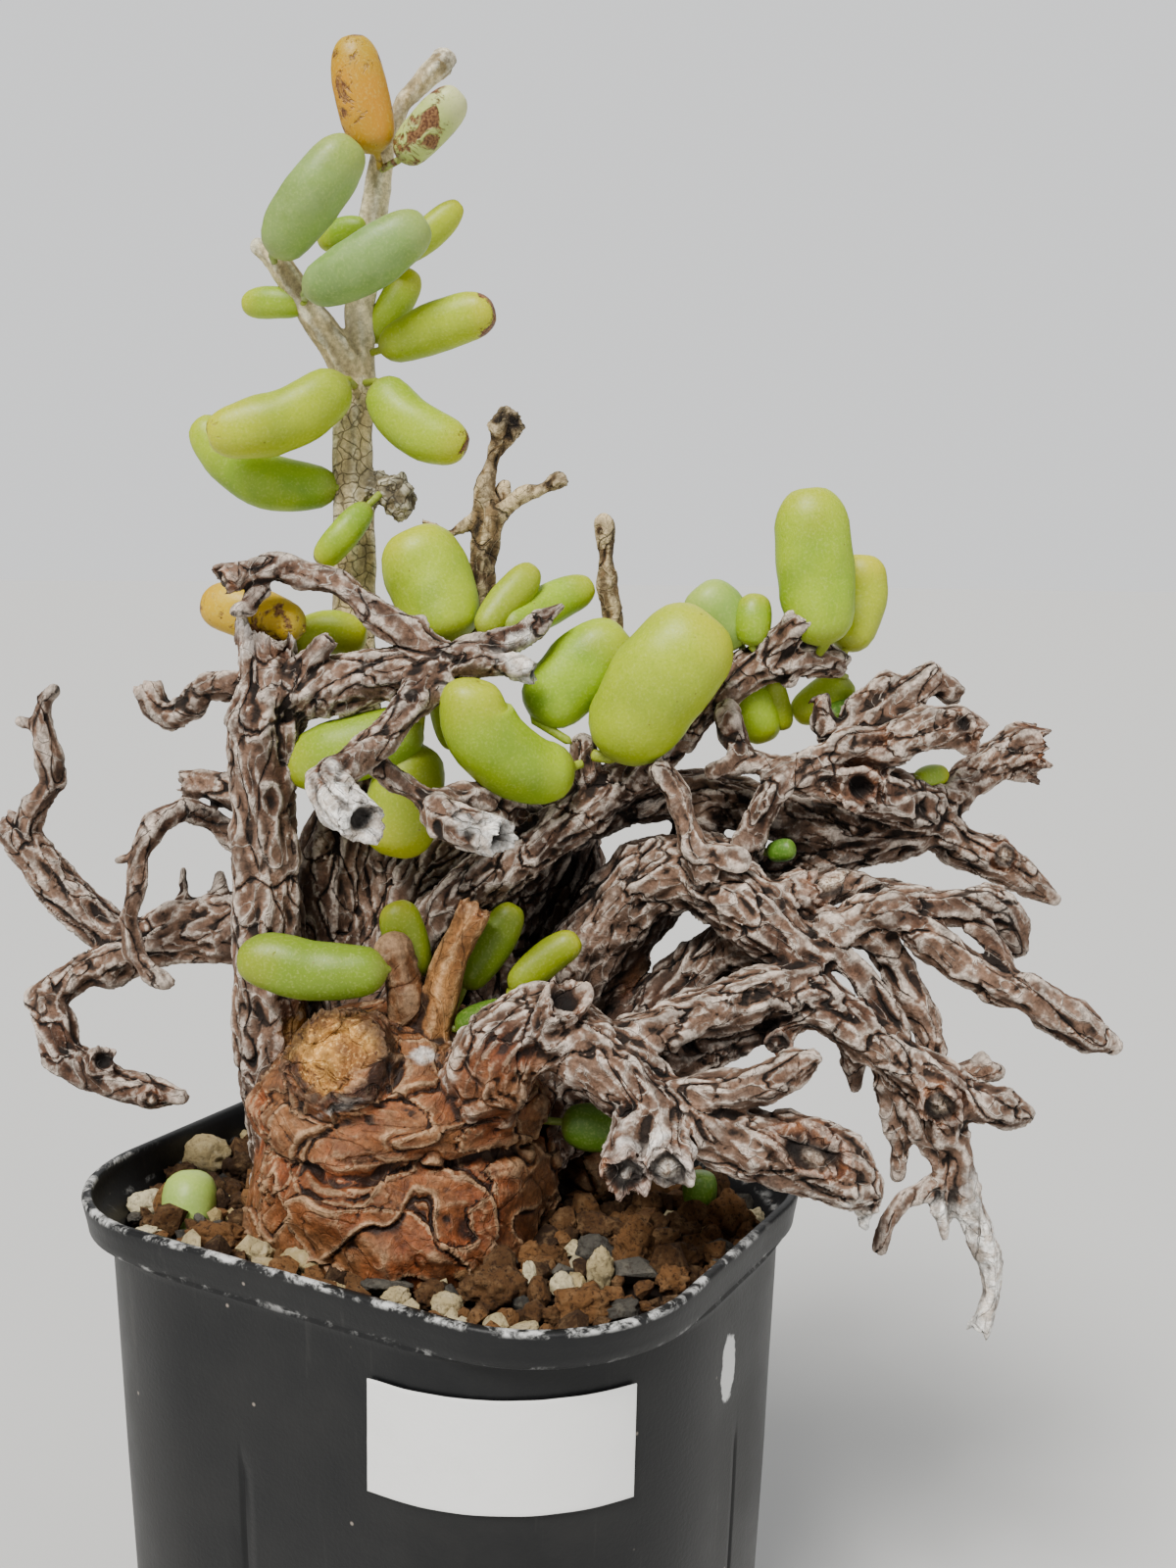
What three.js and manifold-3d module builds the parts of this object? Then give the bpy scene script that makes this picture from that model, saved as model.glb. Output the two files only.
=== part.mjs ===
// Potted caudex plant: a thick low stem with gnarled limbs and plump leaves, in a round-cornered pot.
// Millimetres, +Z up. The origin is the centre of the pot's underside.

import * as THREE from "three";
import { mergeVertices } from "three/addons/utils/BufferGeometryUtils.js";
import Module from "manifold-3d";

const wasm = await Module();
wasm.setup();

// Driving dimensions of the pot
const POT_HEIGHT = 75;
const RIM_HALF_X = 40;
const RIM_HALF_Y = 31.5;
const RIM_CORNER = 18.6;
const BAND_HEIGHT = 4.2;
const BAND_FLARE = 0.5;
const BAND_STEP = 0.5;
const WALL_CORNER = 25;
const WALL_TAPER = 0.028;
const WALL = 1.3;
const FLOOR = 1.6;
const POT_SIDES = 36;
const DRAIN_RADIUS = 4;
const DRAIN_PLACES = [[19, 11], [-19, 11], [19, -11], [-19, -11]];
const GROOVE_WIDTH = 0.6;
const GROOVE_DEPTH = 0.45;
const GROOVE_TOP = 52;
const GROOVE_FRONT_X = -6.5;
const GROOVE_SIDE_Y = 1.2;

// Label, a strip of tape round the front corner
const LABEL_HEIGHT = 12.8;
const LABEL_TOP = 8.5;
const LABEL_THICK = 0.25;
const LABEL_START = -22.7;
const LABEL_END = 6.5;
const LABEL_TILT = 0.01;

// Clearance kept between separate pieces
const GAP = 0.3;

// Edges shorter than this are merged away after cutting
const STEM_SLIVER = 0.3;
const LEAF_SLIVER = 0.3;
const SOIL_SLIVER = 0.25;

// Twigs under this radius are four-sided
const THIN_TWIG = 2.1;

// Soil
const SOIL_DEPTH = 6.2;
const GRAIN_COUNT = 64;
const GRAIN_SMALL = 2.1;
const GRAIN_LARGE = 3.4;
const GOLDEN_ANGLE = 2.39996;
const CAUDEX_CLEAR = 17;

// Where the plant stands: its own frame is turned and moved in the pot
const PLANT_TURN = THREE.MathUtils.degToRad(29.02);
const PLANT_CENTRE = new THREE.Vector3(-4.35, -7.87, 0);
const EYE = new THREE.Vector3(12.74, -196.24, 75.39);

// Thick low stem: centre in the plant's frame, and rings of [height, radius]
const CAUDEX_CENTRE = [-9.5, -8.5];
const CAUDEX_SIDES = 20;
const CAUDEX_RINGS = [
  [-24, 8], [-19, 12.5], [-13, 16], [-7, 17.6], [-1.5, 18.3], [3.2, 18], [5.4, 17.2],
  [6.8, 15.7], [8.2, 16.9], [11.4, 17], [15, 14], [18.5, 10.5], [20.5, 6.5],
];

// Leaf rings: share of the length, share of the half width
const LEAF_SIDES = 6;
const LEAF_RINGS = [[0, 0.4], [0.1, 0.74], [0.33, 0.96], [0.64, 1], [0.87, 0.82], [0.97, 0.47]];
const LEAF_NECK = 0.17;

let seed = 20417;

function random() {
  seed = (seed * 1664525 + 1013904223) % 4294967296;
  return seed / 4294967296;
}

// A point of the plant's frame, in the pot's frame
function inPot(point) {
  const moved = point.clone().sub(PLANT_CENTRE);
  moved.applyAxisAngle(new THREE.Vector3(0, 0, 1), PLANT_TURN);
  moved.z += POT_HEIGHT;
  return moved;
}

// A place given as it is seen from the front: across, up, and how far behind the upright sheet
// through the plant's axis (less than zero is nearer to the viewer)
function seen([across, up, away]) {
  const sheet = new THREE.Vector3(across, 0, up);
  const reach = (away - EYE.y) / -EYE.y;
  return inPot(EYE.clone().add(sheet.sub(EYE).multiplyScalar(reach)));
}

// Closed solid of a three.js geometry
function solid(geometry) {
  const bare = new THREE.BufferGeometry();
  bare.setAttribute("position", geometry.getAttribute("position").clone());
  if (geometry.index) bare.setIndex(geometry.index.clone());
  const merged = mergeVertices(bare, 1e-4);
  const corners = merged.index.array;
  const kept = [];
  for (let i = 0; i < corners.length; i += 3) {
    const [a, b, c] = [corners[i], corners[i + 1], corners[i + 2]];
    if (a !== b && b !== c && c !== a) kept.push(a, b, c);
  }
  const mesh = new wasm.Mesh({
    numProp: 3,
    vertProperties: new Float32Array(merged.getAttribute("position").array),
    triVerts: new Uint32Array(kept),
  });
  return new wasm.Manifold(mesh);
}

function together(solids) {
  return solids.reduce((sum, next) => sum.add(next));
}

// Closed skin through rings of points. place(station, factor, side) gives each vertex;
// the factor is 0 at the two middles that close the ends.
function loft(stations, sides, place) {
  const profile = [new THREE.Vector2(0, 0)];
  for (let k = 0; k < stations; k += 1) profile.push(new THREE.Vector2(1, k));
  profile.push(new THREE.Vector2(0, stations - 1));
  const shape = new THREE.LatheGeometry(profile, sides);
  const position = shape.getAttribute("position");
  const last = profile.length;
  for (let i = 0; i < position.count; i += 1) {
    const side = Math.floor(i / last) % sides;
    const station = Math.round(position.getY(i));
    const factor = i % last === 0 || i % last === last - 1 ? 0 : 1;
    const point = place(station, factor, side);
    position.setXYZ(i, point.x, point.y, point.z);
  }
  return shape;
}

// Points along a stem's middle, with its radius at each
function middleOf({ route }) {
  const curve = new THREE.CatmullRomCurve3(route.map(seen), false, "centripetal");
  const count = 6 * (route.length - 1);
  return Array.from({ length: count + 1 }, (_, k) => ({
    centre: curve.getPoint(k / count),
    radius: route[Math.round(k / 6)][3],
  }));
}

// Where a leaf's neck starts: inside the stem that it grows from, at the nearest place of it
function rootOf(leaf, home) {
  const points = leaf.route.map(seen);
  if (home === "soil") return null;
  const places = middles[home];
  const nearest = places.reduce((best, next) => (
    next.centre.distanceTo(points[0]) - next.radius < best.centre.distanceTo(points[0]) - best.radius
      ? next : best));
  const reach = nearest.centre.distanceTo(points[0]);
  if (reach < nearest.radius) return null;
  return nearest.centre.clone().lerp(points[0], (0.7 * nearest.radius) / reach);
}

// Thin twigs have fewer sides
function sidesFor(route) {
  const thickest = Math.max(...route.map(([, , , radius]) => radius));
  return thickest < THIN_TWIG ? 4 : 5;
}

// A stem along hand-placed points [across, up, away, radius]. Extra radius makes the larger
// copy that cuts its neighbours clear. The end is a rounded tip or a cup.
function stemTube({ route, sides = sidesFor(route), end = "tip", steps = 1 }, extra) {
  const points = route.map(seen);
  const curve = new THREE.CatmullRomCurve3(points, false, "centripetal");
  const spans = points.length - 1;
  const count = spans * steps;
  const stations = [];
  for (let k = 0; k <= count; k += 1) {
    const t = k / count;
    const span = Math.min(Math.floor(t * spans), spans - 1);
    const blend = t * spans - span;
    const radius = route[span][3] * (1 - blend) + route[span + 1][3] * blend;
    stations.push({ centre: curve.getPoint(t), along: curve.getTangent(t), radius });
  }
  const first = stations[0];
  const final = stations[count];
  const foot = first.centre.clone().addScaledVector(first.along, -0.45 * first.radius - extra);
  stations.unshift({ centre: foot, along: first.along, radius: first.radius * 0.6 });
  const lift = end === "cup" && extra === 0 ? -0.55 : 0.45;
  const top = final.centre.clone().addScaledVector(final.along, lift * final.radius + extra);
  stations.push({ centre: top, along: final.along, radius: final.radius * 0.6 });
  let normal = new THREE.Vector3(0.31, -0.45, 0.84);
  const wobble = stations.map(() => Array.from({ length: sides }, () => 0.93 + 0.14 * random()));
  for (const station of stations) {
    normal = normal.clone().addScaledVector(station.along, -normal.dot(station.along)).normalize();
    station.normal = normal;
    station.side = station.along.clone().cross(normal);
  }
  return solid(loft(stations.length, sides, (k, factor, side) => {
    const station = stations[k];
    const turn = (2 * Math.PI * side) / sides;
    const reach = factor * (station.radius * wobble[k][side] + extra);
    return station.centre.clone()
      .addScaledVector(station.normal, reach * Math.cos(turn))
      .addScaledVector(station.side, reach * Math.sin(turn));
  }));
}

// Point of a rounded rectangle's outline, counted round it with the same number in each corner
function roundedPoint(halfX, halfY, corner, side, z) {
  const perCorner = POT_SIDES / 4;
  const quarter = Math.floor(side / perCorner);
  const angle = (Math.PI / 2) * (quarter + (side % perCorner) / (perCorner - 1));
  const signX = quarter === 0 || quarter === 3 ? 1 : -1;
  const signY = quarter < 2 ? 1 : -1;
  return new THREE.Vector3(
    signX * (halfX - corner) + corner * Math.cos(angle),
    signY * (halfY - corner) + corner * Math.sin(angle),
    z,
  );
}

// Solid through rounded rectangles, each [inset from the rim's outside, height, corner radius]
function stacked(rings) {
  return solid(loft(rings.length, POT_SIDES, (k, factor, side) => {
    const [inset, z, corner] = rings[k];
    const point = roundedPoint(RIM_HALF_X - inset, RIM_HALF_Y - inset, corner, side, z);
    return factor === 0 ? new THREE.Vector3(0, 0, z) : point;
  }));
}

function wallInset(z) {
  return BAND_STEP + WALL_TAPER * (POT_HEIGHT - BAND_HEIGHT - z);
}

// The inside of the pot, made smaller all round by a clearance
function inside(clearance, bottom, top) {
  const band = POT_HEIGHT - BAND_HEIGHT;
  const wall = WALL + clearance;
  const rings = [[wallInset(bottom) + wall, bottom, WALL_CORNER - wall]];
  if (top < band) {
    rings.push([wallInset(top) + wall, top, WALL_CORNER - wall]);
  } else {
    rings.push([wallInset(band) + wall, band - 1, WALL_CORNER - wall]);
    rings.push([BAND_FLARE + wall, band + 0.6, RIM_CORNER - wall]);
    rings.push([wall, POT_HEIGHT - 0.3, RIM_CORNER - wall]);
    rings.push([wall, top, RIM_CORNER - wall]);
  }
  return stacked(rings);
}

function makePot() {
  const band = POT_HEIGHT - BAND_HEIGHT;
  const outside = stacked([
    [wallInset(0) + 0.8, 0, WALL_CORNER - 0.8],
    [wallInset(0.8), 0.8, WALL_CORNER],
    [wallInset(band), band - 0.5, WALL_CORNER],
    [BAND_FLARE, band, RIM_CORNER],
    [0, POT_HEIGHT - 0.4, RIM_CORNER],
    [0.4, POT_HEIGHT, RIM_CORNER],
  ]);
  const cuts = DRAIN_PLACES.map(([x, y]) => {
    const hole = new THREE.CylinderGeometry(DRAIN_RADIUS, DRAIN_RADIUS, 8, 14);
    hole.rotateX(Math.PI / 2);
    return solid(hole.translate(x, y, 0));
  });
  for (const sign of [-1, 1]) {
    const long = new THREE.BoxGeometry(GROOVE_WIDTH, 2 * GROOVE_DEPTH, GROOVE_TOP + 2);
    const lean = Math.atan(WALL_TAPER);
    const middle = wallInset(GROOVE_TOP / 2);
    const front = long.clone().rotateX(sign * lean);
    front.translate(GROOVE_FRONT_X, sign * (RIM_HALF_Y - middle), GROOVE_TOP / 2 - 1);
    const side = long.clone().rotateX(-lean).rotateZ(sign * Math.PI / 2);
    side.translate(sign * (RIM_HALF_X - middle), GROOVE_SIDE_Y, GROOVE_TOP / 2 - 1);
    cuts.push(solid(front), solid(side));
  }
  return outside.subtract(inside(0, FLOOR, POT_HEIGHT + 5)).subtract(together(cuts));
}

// A strip of tape bent round the front corner, leaning with the wall
function makeLabel() {
  const length = LABEL_END - LABEL_START;
  const strip = new THREE.BoxGeometry(length, LABEL_THICK, LABEL_HEIGHT, 20, 1, 1);
  const position = strip.getAttribute("position");
  const bend = WALL_CORNER + GAP;
  const arcStart = (-bend * Math.PI) / 4;
  for (let i = 0; i < position.count; i += 1) {
    const along = position.getX(i) + (LABEL_START + LABEL_END) / 2;
    const z = POT_HEIGHT - LABEL_TOP - LABEL_HEIGHT / 2 + position.getZ(i) + LABEL_TILT * along;
    const inset = wallInset(z);
    const out = GAP + LABEL_THICK / 2 - position.getY(i);
    const flat = Math.min(along - arcStart, 0);
    const angle = -Math.PI / 2 + Math.max(along - arcStart, 0) / bend;
    const centreX = RIM_HALF_X - inset - WALL_CORNER;
    const centreY = -(RIM_HALF_Y - inset - WALL_CORNER);
    position.setXYZ(
      i,
      centreX + flat + (WALL_CORNER + out) * Math.cos(angle),
      centreY + (WALL_CORNER + out) * Math.sin(angle),
      z,
    );
  }
  return solid(strip);
}

// The thick stem: an upright swelling with a pinched waist, bulges and two folds
function caudexBody(extra) {
  const [cx, cy] = CAUDEX_CENTRE;
  return solid(loft(CAUDEX_RINGS.length, CAUDEX_SIDES, (k, factor, side) => {
    const [z, radius] = CAUDEX_RINGS[k];
    const turn = (2 * Math.PI * side) / CAUDEX_SIDES;
    const bulge = 1 + 0.05 * Math.sin(3 * turn + 0.25 * z) + 0.035 * Math.sin(5 * turn - 0.4 * z + 1);
    const reach = factor * (radius * bulge + extra);
    const lift = k === 0 ? -extra : k === CAUDEX_RINGS.length - 1 ? extra : 0;
    const point = new THREE.Vector3(cx + reach * Math.cos(turn), cy + reach * Math.sin(turn), z + lift);
    return inPot(point);
  }));
}

// Fleshy leaf along a route from its base, fattest past the middle, its face to the viewer
function leafBody({ route, root, width, thick = 0.72 }, extra) {
  const curve = new THREE.CatmullRomCurve3(route.map(seen), false, "centripetal");
  const eye = inPot(EYE);
  const blade = solid(loft(LEAF_RINGS.length, LEAF_SIDES, (k, factor, side) => {
    const [share, fullness] = LEAF_RINGS[k];
    const centre = curve.getPoint(share);
    const along = curve.getTangent(share);
    const face = eye.clone().sub(centre);
    face.addScaledVector(along, -face.dot(along)).normalize();
    const across = along.clone().cross(face);
    const turn = (2 * Math.PI * side) / LEAF_SIDES;
    const reach = factor * ((fullness * width) / 2 + extra);
    const lift = k === 0 ? -extra : k === LEAF_RINGS.length - 1 ? extra : 0;
    return centre
      .addScaledVector(along, lift)
      .addScaledVector(across, -reach * Math.cos(turn))
      .addScaledVector(face, reach * thick * Math.sin(turn));
  }));
  if (!root) return blade;
  const inner = curve.getPoint(0.2);
  const along = inner.clone().sub(root).normalize();
  const neck = new THREE.CylinderGeometry(
    width * LEAF_NECK * 1.2 + extra, width * LEAF_NECK + extra, root.distanceTo(inner), 4);
  const upright = new THREE.Vector3(0, 1, 0);
  neck.applyQuaternion(new THREE.Quaternion().setFromUnitVectors(upright, along));
  const middle = root.clone().lerp(inner, 0.5);
  return blade.add(solid(neck.translate(middle.x, middle.y, middle.z)));
}

// Stems. Each holds its routes of [across, up, away, radius], as seen() takes them.
const STEMS = {
  left_trunk: { bark: "grey", tubes: [
    { sides: 7, steps: 2, end: "cup", route: [[-22, -14, -5, 7], [-23.2, -2, -6, 6.2], [-25.6, 10, -5, 5.3],
      [-27, 20, -5, 4.6], [-27.2, 30, -5, 4.2], [-27.2, 40, -5, 4.1], [-27.5, 50, -5, 4],
      [-27, 55, -5, 4.9],
      [-26.8, 60, -5, 3.4], [-26.8, 66, -5, 3.2]] },
    { sides: 4, route: [[-28.6, 62, -5, 1.2], [-29.5, 66, -5, 1], [-29.7, 68.6, -5, 0.6]] },
    { end: "cup", route: [[-27, 59, -4, 2.2], [-30.6, 59, -3, 2], [-34, 59.5, -2, 1.8],
      [-36.3, 57.3, -2, 1.8],
      [-38.8, 55.6, -2, 1.8], [-40.4, 57.1, -1.9, 1.6], [-41.3, 59, -1.5, 1.3]] },
    { end: "cup", route: [[-27.5, 45, -2, 2.4], [-31.3, 46.3, 0, 2.1], [-34.6, 47.3, 1, 2],
      [-37.5, 47.2, 1, 2]] },
    { route: [[-27.5, 38.5, -2, 2], [-31.2, 40.5, 0, 1.6], [-34, 42.9, -1, 1.5], [-37.3, 44, -3, 1.5],
      [-40.7, 42.2, -3.8, 1.5], [-42.6, 39, -4.1, 1.4], [-43.5, 34.6, -4.8, 1.4], [-44.7, 30.2, -4.4, 1.3],
      [-44.1, 25.8, -4.6, 1.3], [-42.2, 23.3, -6.5, 1.2], [-40.2, 22.1, -6.9, 1]] },
    { sides: 4, route: [[-43, 38.4, -4, 1], [-45.8, 37.5, -3, 0.7]] },
    { sides: 6, route: [[-27, 29, 0, 4.8], [-32, 29, 3, 4.5], [-37.3, 28.7, 4, 4.2],
      [-42.2, 27.4, 4.8, 3.6],
      [-46, 27.4, 5.1, 3.2], [-49.5, 30.7, 5.3, 2.8], [-53.7, 34.5, 5.8, 2.8], [-57, 39.5, 5.9, 2.3],
      [-60, 42.3, 7, 1.6]], end: "cup" },
    { route: [[-56.6, 38.5, 5.8, 2], [-57, 41, 5.9, 1.9], [-55.5, 44.3, 5.4, 1.8], [-53.3, 47.3, 4.7, 1.9],
      [-53.9, 51.7, 4.9, 1.4], [-54.7, 55.1, 5.1, 1.3], [-54.2, 57.5, 5, 1.1], [-53, 58.6, 4.5, 0.9]] },
    { sides: 4, route: [[-54.4, 54, 5, 1], [-57.2, 54.8, 6, 0.7]] },
    { sides: 6, route: [[-44, 26.5, 4.4, 3], [-47, 24.5, 1.9, 2.8], [-50.8, 23.2, 0.5, 2.4],
      [-55.2, 19.8, -1.6, 2.3],
      [-54.3, 16.6, -3.5, 2.2], [-53.6, 12.4, -5, 2.4], [-50.4, 9.9, -6, 2.3], [-46.6, 8.9, -7, 2],
      [-42.2, 7.5, -8, 1.7], [-38.5, 7, -9, 0.8]] },
    { end: "cup", route: [[-49.3, 10.5, -6, 1.9], [-48.3, 11.8, -9, 1.7]] },
    { sides: 4, end: "cup", route: [[-42.6, 7.2, -8, 1.4], [-42.4, 6.5, -10.5, 1.1]] },
    { sides: 4, route: [[-37.5, 31.5, 4, 1.2], [-37.5, 36.5, 4, 0.8]] },
    { sides: 4, route: [[-33, 32, 3, 1.2], [-33, 36, 3, 0.8]] },
  ] },
  back_limb: { bark: "grey", tubes: [
    { sides: 7, route: [[-15, 6, 0, 6], [-16.5, 12, 2, 5.8], [-20, 25, 4, 4.6], [-19.5, 36, 6, 4.6],
      [-16, 45, 8, 4.3], [-14.5, 51, 8, 3.6]] },
    { sides: 7, route: [[-11, 12, 2, 5.6], [-10.5, 23, 4, 5.4], [-7, 35, 5, 5.4], [0, 41, 5, 4.4],
      [6, 44, 2, 3.4]] },
    { sides: 7, route: [[-2, 10, 3, 5.6], [-0.5, 22, 6, 5.6], [3, 33, 7, 5], [8.5, 41, 6, 4],
      [14, 46.5, 5, 3]] },
    { sides: 6, route: [[-13, 14, 4, 5], [-13.8, 22, 6, 4.6], [-13.2, 31, 7, 4.2], [-11.5, 40.5, 8, 3.6]] },
    { end: "cup", sides: 6, route: [[4, 43.5, 2, 2.8], [1, 45, -8, 2.6], [-3, 45.5, -12, 2.2],
      [-6.5, 44.6, -15, 2.1],
      [-4.6, 42.8, -18, 2.2], [2.1, 40.8, -21, 2.3]] },
    { route: [[-6, 44.8, -14, 1.9], [-10.5, 47.8, -16, 1.5], [-13.9, 50.3, -17, 1.4]] },
    { sides: 6, end: "cup", route: [[6.5, 10, 4, 4.6], [9.2, 20, 6, 4.3], [11.8, 32, 8, 3.8],
      [11.6, 41.5, 9, 3]] },
  ] },
  pale_stem: { bark: "pale", tubes: [
    { sides: 6, route: [[-15.2, 52, 7, 3], [-15.5, 58, 6, 2.9], [-16, 65, 7.3, 2.8], [-15.9, 72, 8.7, 2.8],
      [-16, 80, 9.2, 2.8], [-15.9, 90, 9.8, 2.5], [-15.2, 96, 10.2, 2.4], [-14.8, 100, 10.4, 1.8],
      [-15, 104.3, 10.7, 1.8],
      [-13.4, 113.7, 11.2, 1.6], [-12.4, 119.8, 11.6, 1.5], [-11.7, 123, 11.8, 1.2],
      [-10.7, 125, 11.9, 1.1],
      [-9.6, 127.8, 12.1, 1], [-7.8, 129.6, 12.2, 1.1], [-5.9, 131.4, 12.3, 1.4],
      [-4.5, 132.5, 12.3, 1.2]] },
    { route: [[-15.2, 95, 10.1, 2.2], [-17.8, 100, 9.4, 2], [-21.4, 105, 8.7, 1.7], [-24.5, 109.7, 8, 1.5],
      [-26.8, 111.5, 8.1, 1.1]] },
    { route: [[-15, 84, 9.4, 1.8], [-13, 83.5, 8.4, 1.8], [-9.8, 82.3, 7.3, 2.7]] },
  ] },
  upper_limb: { bark: "grey", tubes: [
    { sides: 6, route: [[-27, 58, -6, 3.7], [-24, 59, -5, 4], [-17, 60, -6, 3.5], [-12, 61, -7, 3.3],
      [-7, 61.5, -8, 2.9], [-4, 62.8, -8, 2.3]] },
    { route: [[-4, 62, -8, 2.2], [-9.8, 66.3, -8, 1.9], [-14.1, 69.2, -8, 1.8], [-17.7, 71.8, -7, 1.7],
      [-21.3, 72.8, -7, 1.7], [-25, 73.8, -7, 1.7], [-28.6, 73.3, -8, 1.5],
      [-31.9, 72.4, -9, 1.8]], end: "cup" },
    { sides: 4, route: [[-27, 73, -7, 1.1], [-27.8, 70.8, -8, 1.1], [-29, 68.8, -9, 1],
      [-30.4, 68.6, -10, 0.9]] },
    { end: "cup", route: [[-23, 60.5, -6, 1.9], [-20.8, 63.4, -8, 1.5], [-19, 65.7, -9, 1.3]] },
    { end: "cup", route: [[-5, 62.5, -8, 2.2], [-0.9, 62.6, -9, 1.7], [2.8, 62.5, -10, 1.4],
      [6.1, 61.5, -11, 1.3]] },
    { route: [[-5, 63.2, -8, 1.8], [2.1, 65.1, -8, 1.9], [6.1, 67, -7, 1.7], [9.2, 69.5, -7, 1]] },
    { sides: 6, end: "cup", steps: 2, route: [[-6, 61.5, -8, 2.6], [-9.7, 56.3, -14, 2.1],
      [-12.7, 53, -18, 2],
      [-16.4, 50.2, -22, 1.8], [-19.4, 47.5, -25, 2.2], [-18, 44.9, -28, 2.4], [-15, 42.7, -32, 2.1]] },
  ] },
  diagonal_limb: { bark: "grey", tubes: [
    { sides: 6, steps: 2, route: [[-7, 10, -4, 5.5], [-8, 20, -1, 5], [-6, 30, -3, 3.7],
      [-0.9, 34.7, -4, 3.3],
      [6.6, 40.2, -4, 3.2], [14.1, 46.3, -3, 3], [20, 50.5, -2, 2.8], [25.6, 56.4, -2, 2.5],
      [31, 61.5, -2, 2.5], [34.8, 63.2, -3, 2.8], [38.9, 63.2, -3, 2.4], [43.5, 62.6, -3, 1.5]] },
    { route: [[33.6, 62.8, -3, 2.2], [34.8, 64.5, -4, 2.1], [38.5, 68.2, -6, 1.9], [40.5, 69, -7, 1.4]] },
    { sides: 4, route: [[36.5, 63, -3, 1.8], [37.2, 60.6, -4, 1.4]] },
    { sides: 5, route: [[13, 46.5, -3, 1.8], [12.2, 50.6, -5, 1.6], [12, 53, -6, 1.5]] },
  ] },
  front_limb: { bark: "grey", tubes: [
    { sides: 7, steps: 2, route: [[-3, 4, -12, 5], [-0.2, 9, -18, 5.6], [2.4, 14, -20, 5],
      [7.1, 16.8, -20, 4.5], [12.5, 14.3, -21, 4.5], [17.5, 10, -23, 4.3], [22.5, 6.5, -25, 3.6],
      [30.6, 2.2, -26, 3.7], [38, 0.3, -27, 4.4], [43, -0.8, -28, 4.5], [47, -3, -29, 3.4],
      [49, -6, -29, 1.6],
      [48.6, -9, -29, 0.8]] },
    { end: "cup", sides: 6, route: [[20, 8, -24, 2.6], [18.2, 0, -30, 2.4], [17.9, -3, -33.5, 2.6]] },
    { end: "cup", sides: 6, route: [[22.5, 6, -25, 2.6], [23.5, 0, -31, 2.4], [23.5, -2.4, -34.5, 2.6]] },
    { route: [[22.5, 7, -25, 2.6], [31.2, 8.4, -27, 2.5], [36, 9.5, -28, 2.4], [40.4, 12.3, -29, 1.7],
      [41.6, 13.2, -30, 1.3]] },
    { end: "cup", sides: 6, route: [[7, 14, -20, 3.2], [8.5, 17, -22, 3], [10.3, 21, -24, 2.5]] },
  ] },
  right_limb: { bark: "grey", tubes: [
    { sides: 8, route: [[3, 2, -4, 6.3], [14, 8, -2, 5.7], [21.8, 17.5, 0, 4.6], [26.8, 23, 0, 4.6],
      [31.6, 26.8, -3, 4.6], [36.5, 28.5, -9, 4.1], [40.3, 25, -14, 3.2]] },
    { sides: 6, route: [[8, 13, 3, 5.2], [13.5, 26.5, 2, 5.5], [21, 36, -1, 5.7], [27, 36.6, -6, 5.2],
      [32.4, 33, -11, 4.6], [36.8, 29, -13, 3.6], [40, 26, -14, 3.1]] },
    { end: "cup", route: [[21.6, 49.7, -10, 1.5], [23.5, 46.8, -11, 1.5], [24.9, 42.6, -12, 1.6],
      [26.3, 39.1, -13, 1.8], [27.5, 36, -12, 2.3]] },
    { sides: 4, route: [[26.3, 39.1, -13, 1.7], [31.7, 38.3, -14, 1.4]] },
    { end: "cup", route: [[35, 33, -12, 2.7], [41.2, 35.3, -11, 2.5]] },
    { end: "cup", route: [[38, 32, -11, 2.3], [43.8, 35.6, -8, 2.3], [50.4, 34, -8, 2.2],
      [56, 33.5, -8, 1.7]] },
    { sides: 6, route: [[14, 11.5, -17, 3.8], [17, 13, -21, 3.4], [20, 15.7, -20, 3.2],
      [25, 17.6, -19, 2.8],
      [30.3, 19.6, -18, 3], [35.2, 21.6, -17, 3], [40.5, 22.5, -16, 3.2], [43.6, 18.7, -17, 3],
      [48, 15.6, -18, 3], [52.5, 12.7, -19, 2.8], [57.5, 9.2, -20, 3.1], [61.5, 7.3, -20, 2.4],
      [66.4, 6.6, -20, 2.2], [69, 5.7, -20, 0.9]] },
    { sides: 6, route: [[16, 12, -18, 2.8], [20, 12.5, -19, 2.8], [25, 13.4, -17, 2.6],
      [30.4, 15.5, -15, 2.4],
      [37, 17.5, -15, 2.3], [41, 19.5, -16, 2.5]] },
    { end: "cup", sides: 4, route: [[37.2, 17, -16, 1.7], [37.2, 14.8, -19.5, 1.7]] },
    { end: "cup", sides: 6, route: [[57.6, 8.6, -20, 2.5], [58, 6.6, -23, 2.3]] },
    { sides: 4, route: [[52.5, 13.2, -18, 1.7], [55, 12.5, -17, 1.6], [58, 11.2, -15, 1.4],
      [61.4, 11.3, -14, 1.4],
      [64.9, 11.2, -14, 1.1]] },
    { sides: 4, route: [[61.4, 11.3, -14, 1.1], [62.9, 13.2, -14, 0.9]] },
    { end: "cup", route: [[58, 7.5, -20, 2.3], [58.6, 4, -20, 2.2], [60, 0.3, -19, 2.1],
      [60.4, -2.7, -19, 2.1],
      [61.9, -6.3, -19, 1.9], [63.6, -10, -19, 1.7], [65.2, -14.2, -19, 1.7], [65.6, -18.4, -19, 1.4],
      [64.7, -22, -19, 1.1], [64, -23.7, -19, 1.3]] },
    { sides: 4, route: [[50.5, 13, -18, 1.9], [51.8, 8, -17, 1.8], [53, 3, -17, 1.7],
      [52.8, -2.2, -17, 1]] },
    { sides: 4, route: [[52.8, 12, -18.5, 1.8], [53.4, 9, -18, 1.5], [55.6, 3.8, -19, 1.4],
      [57.8, 0.3, -19, 1.5],
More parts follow.
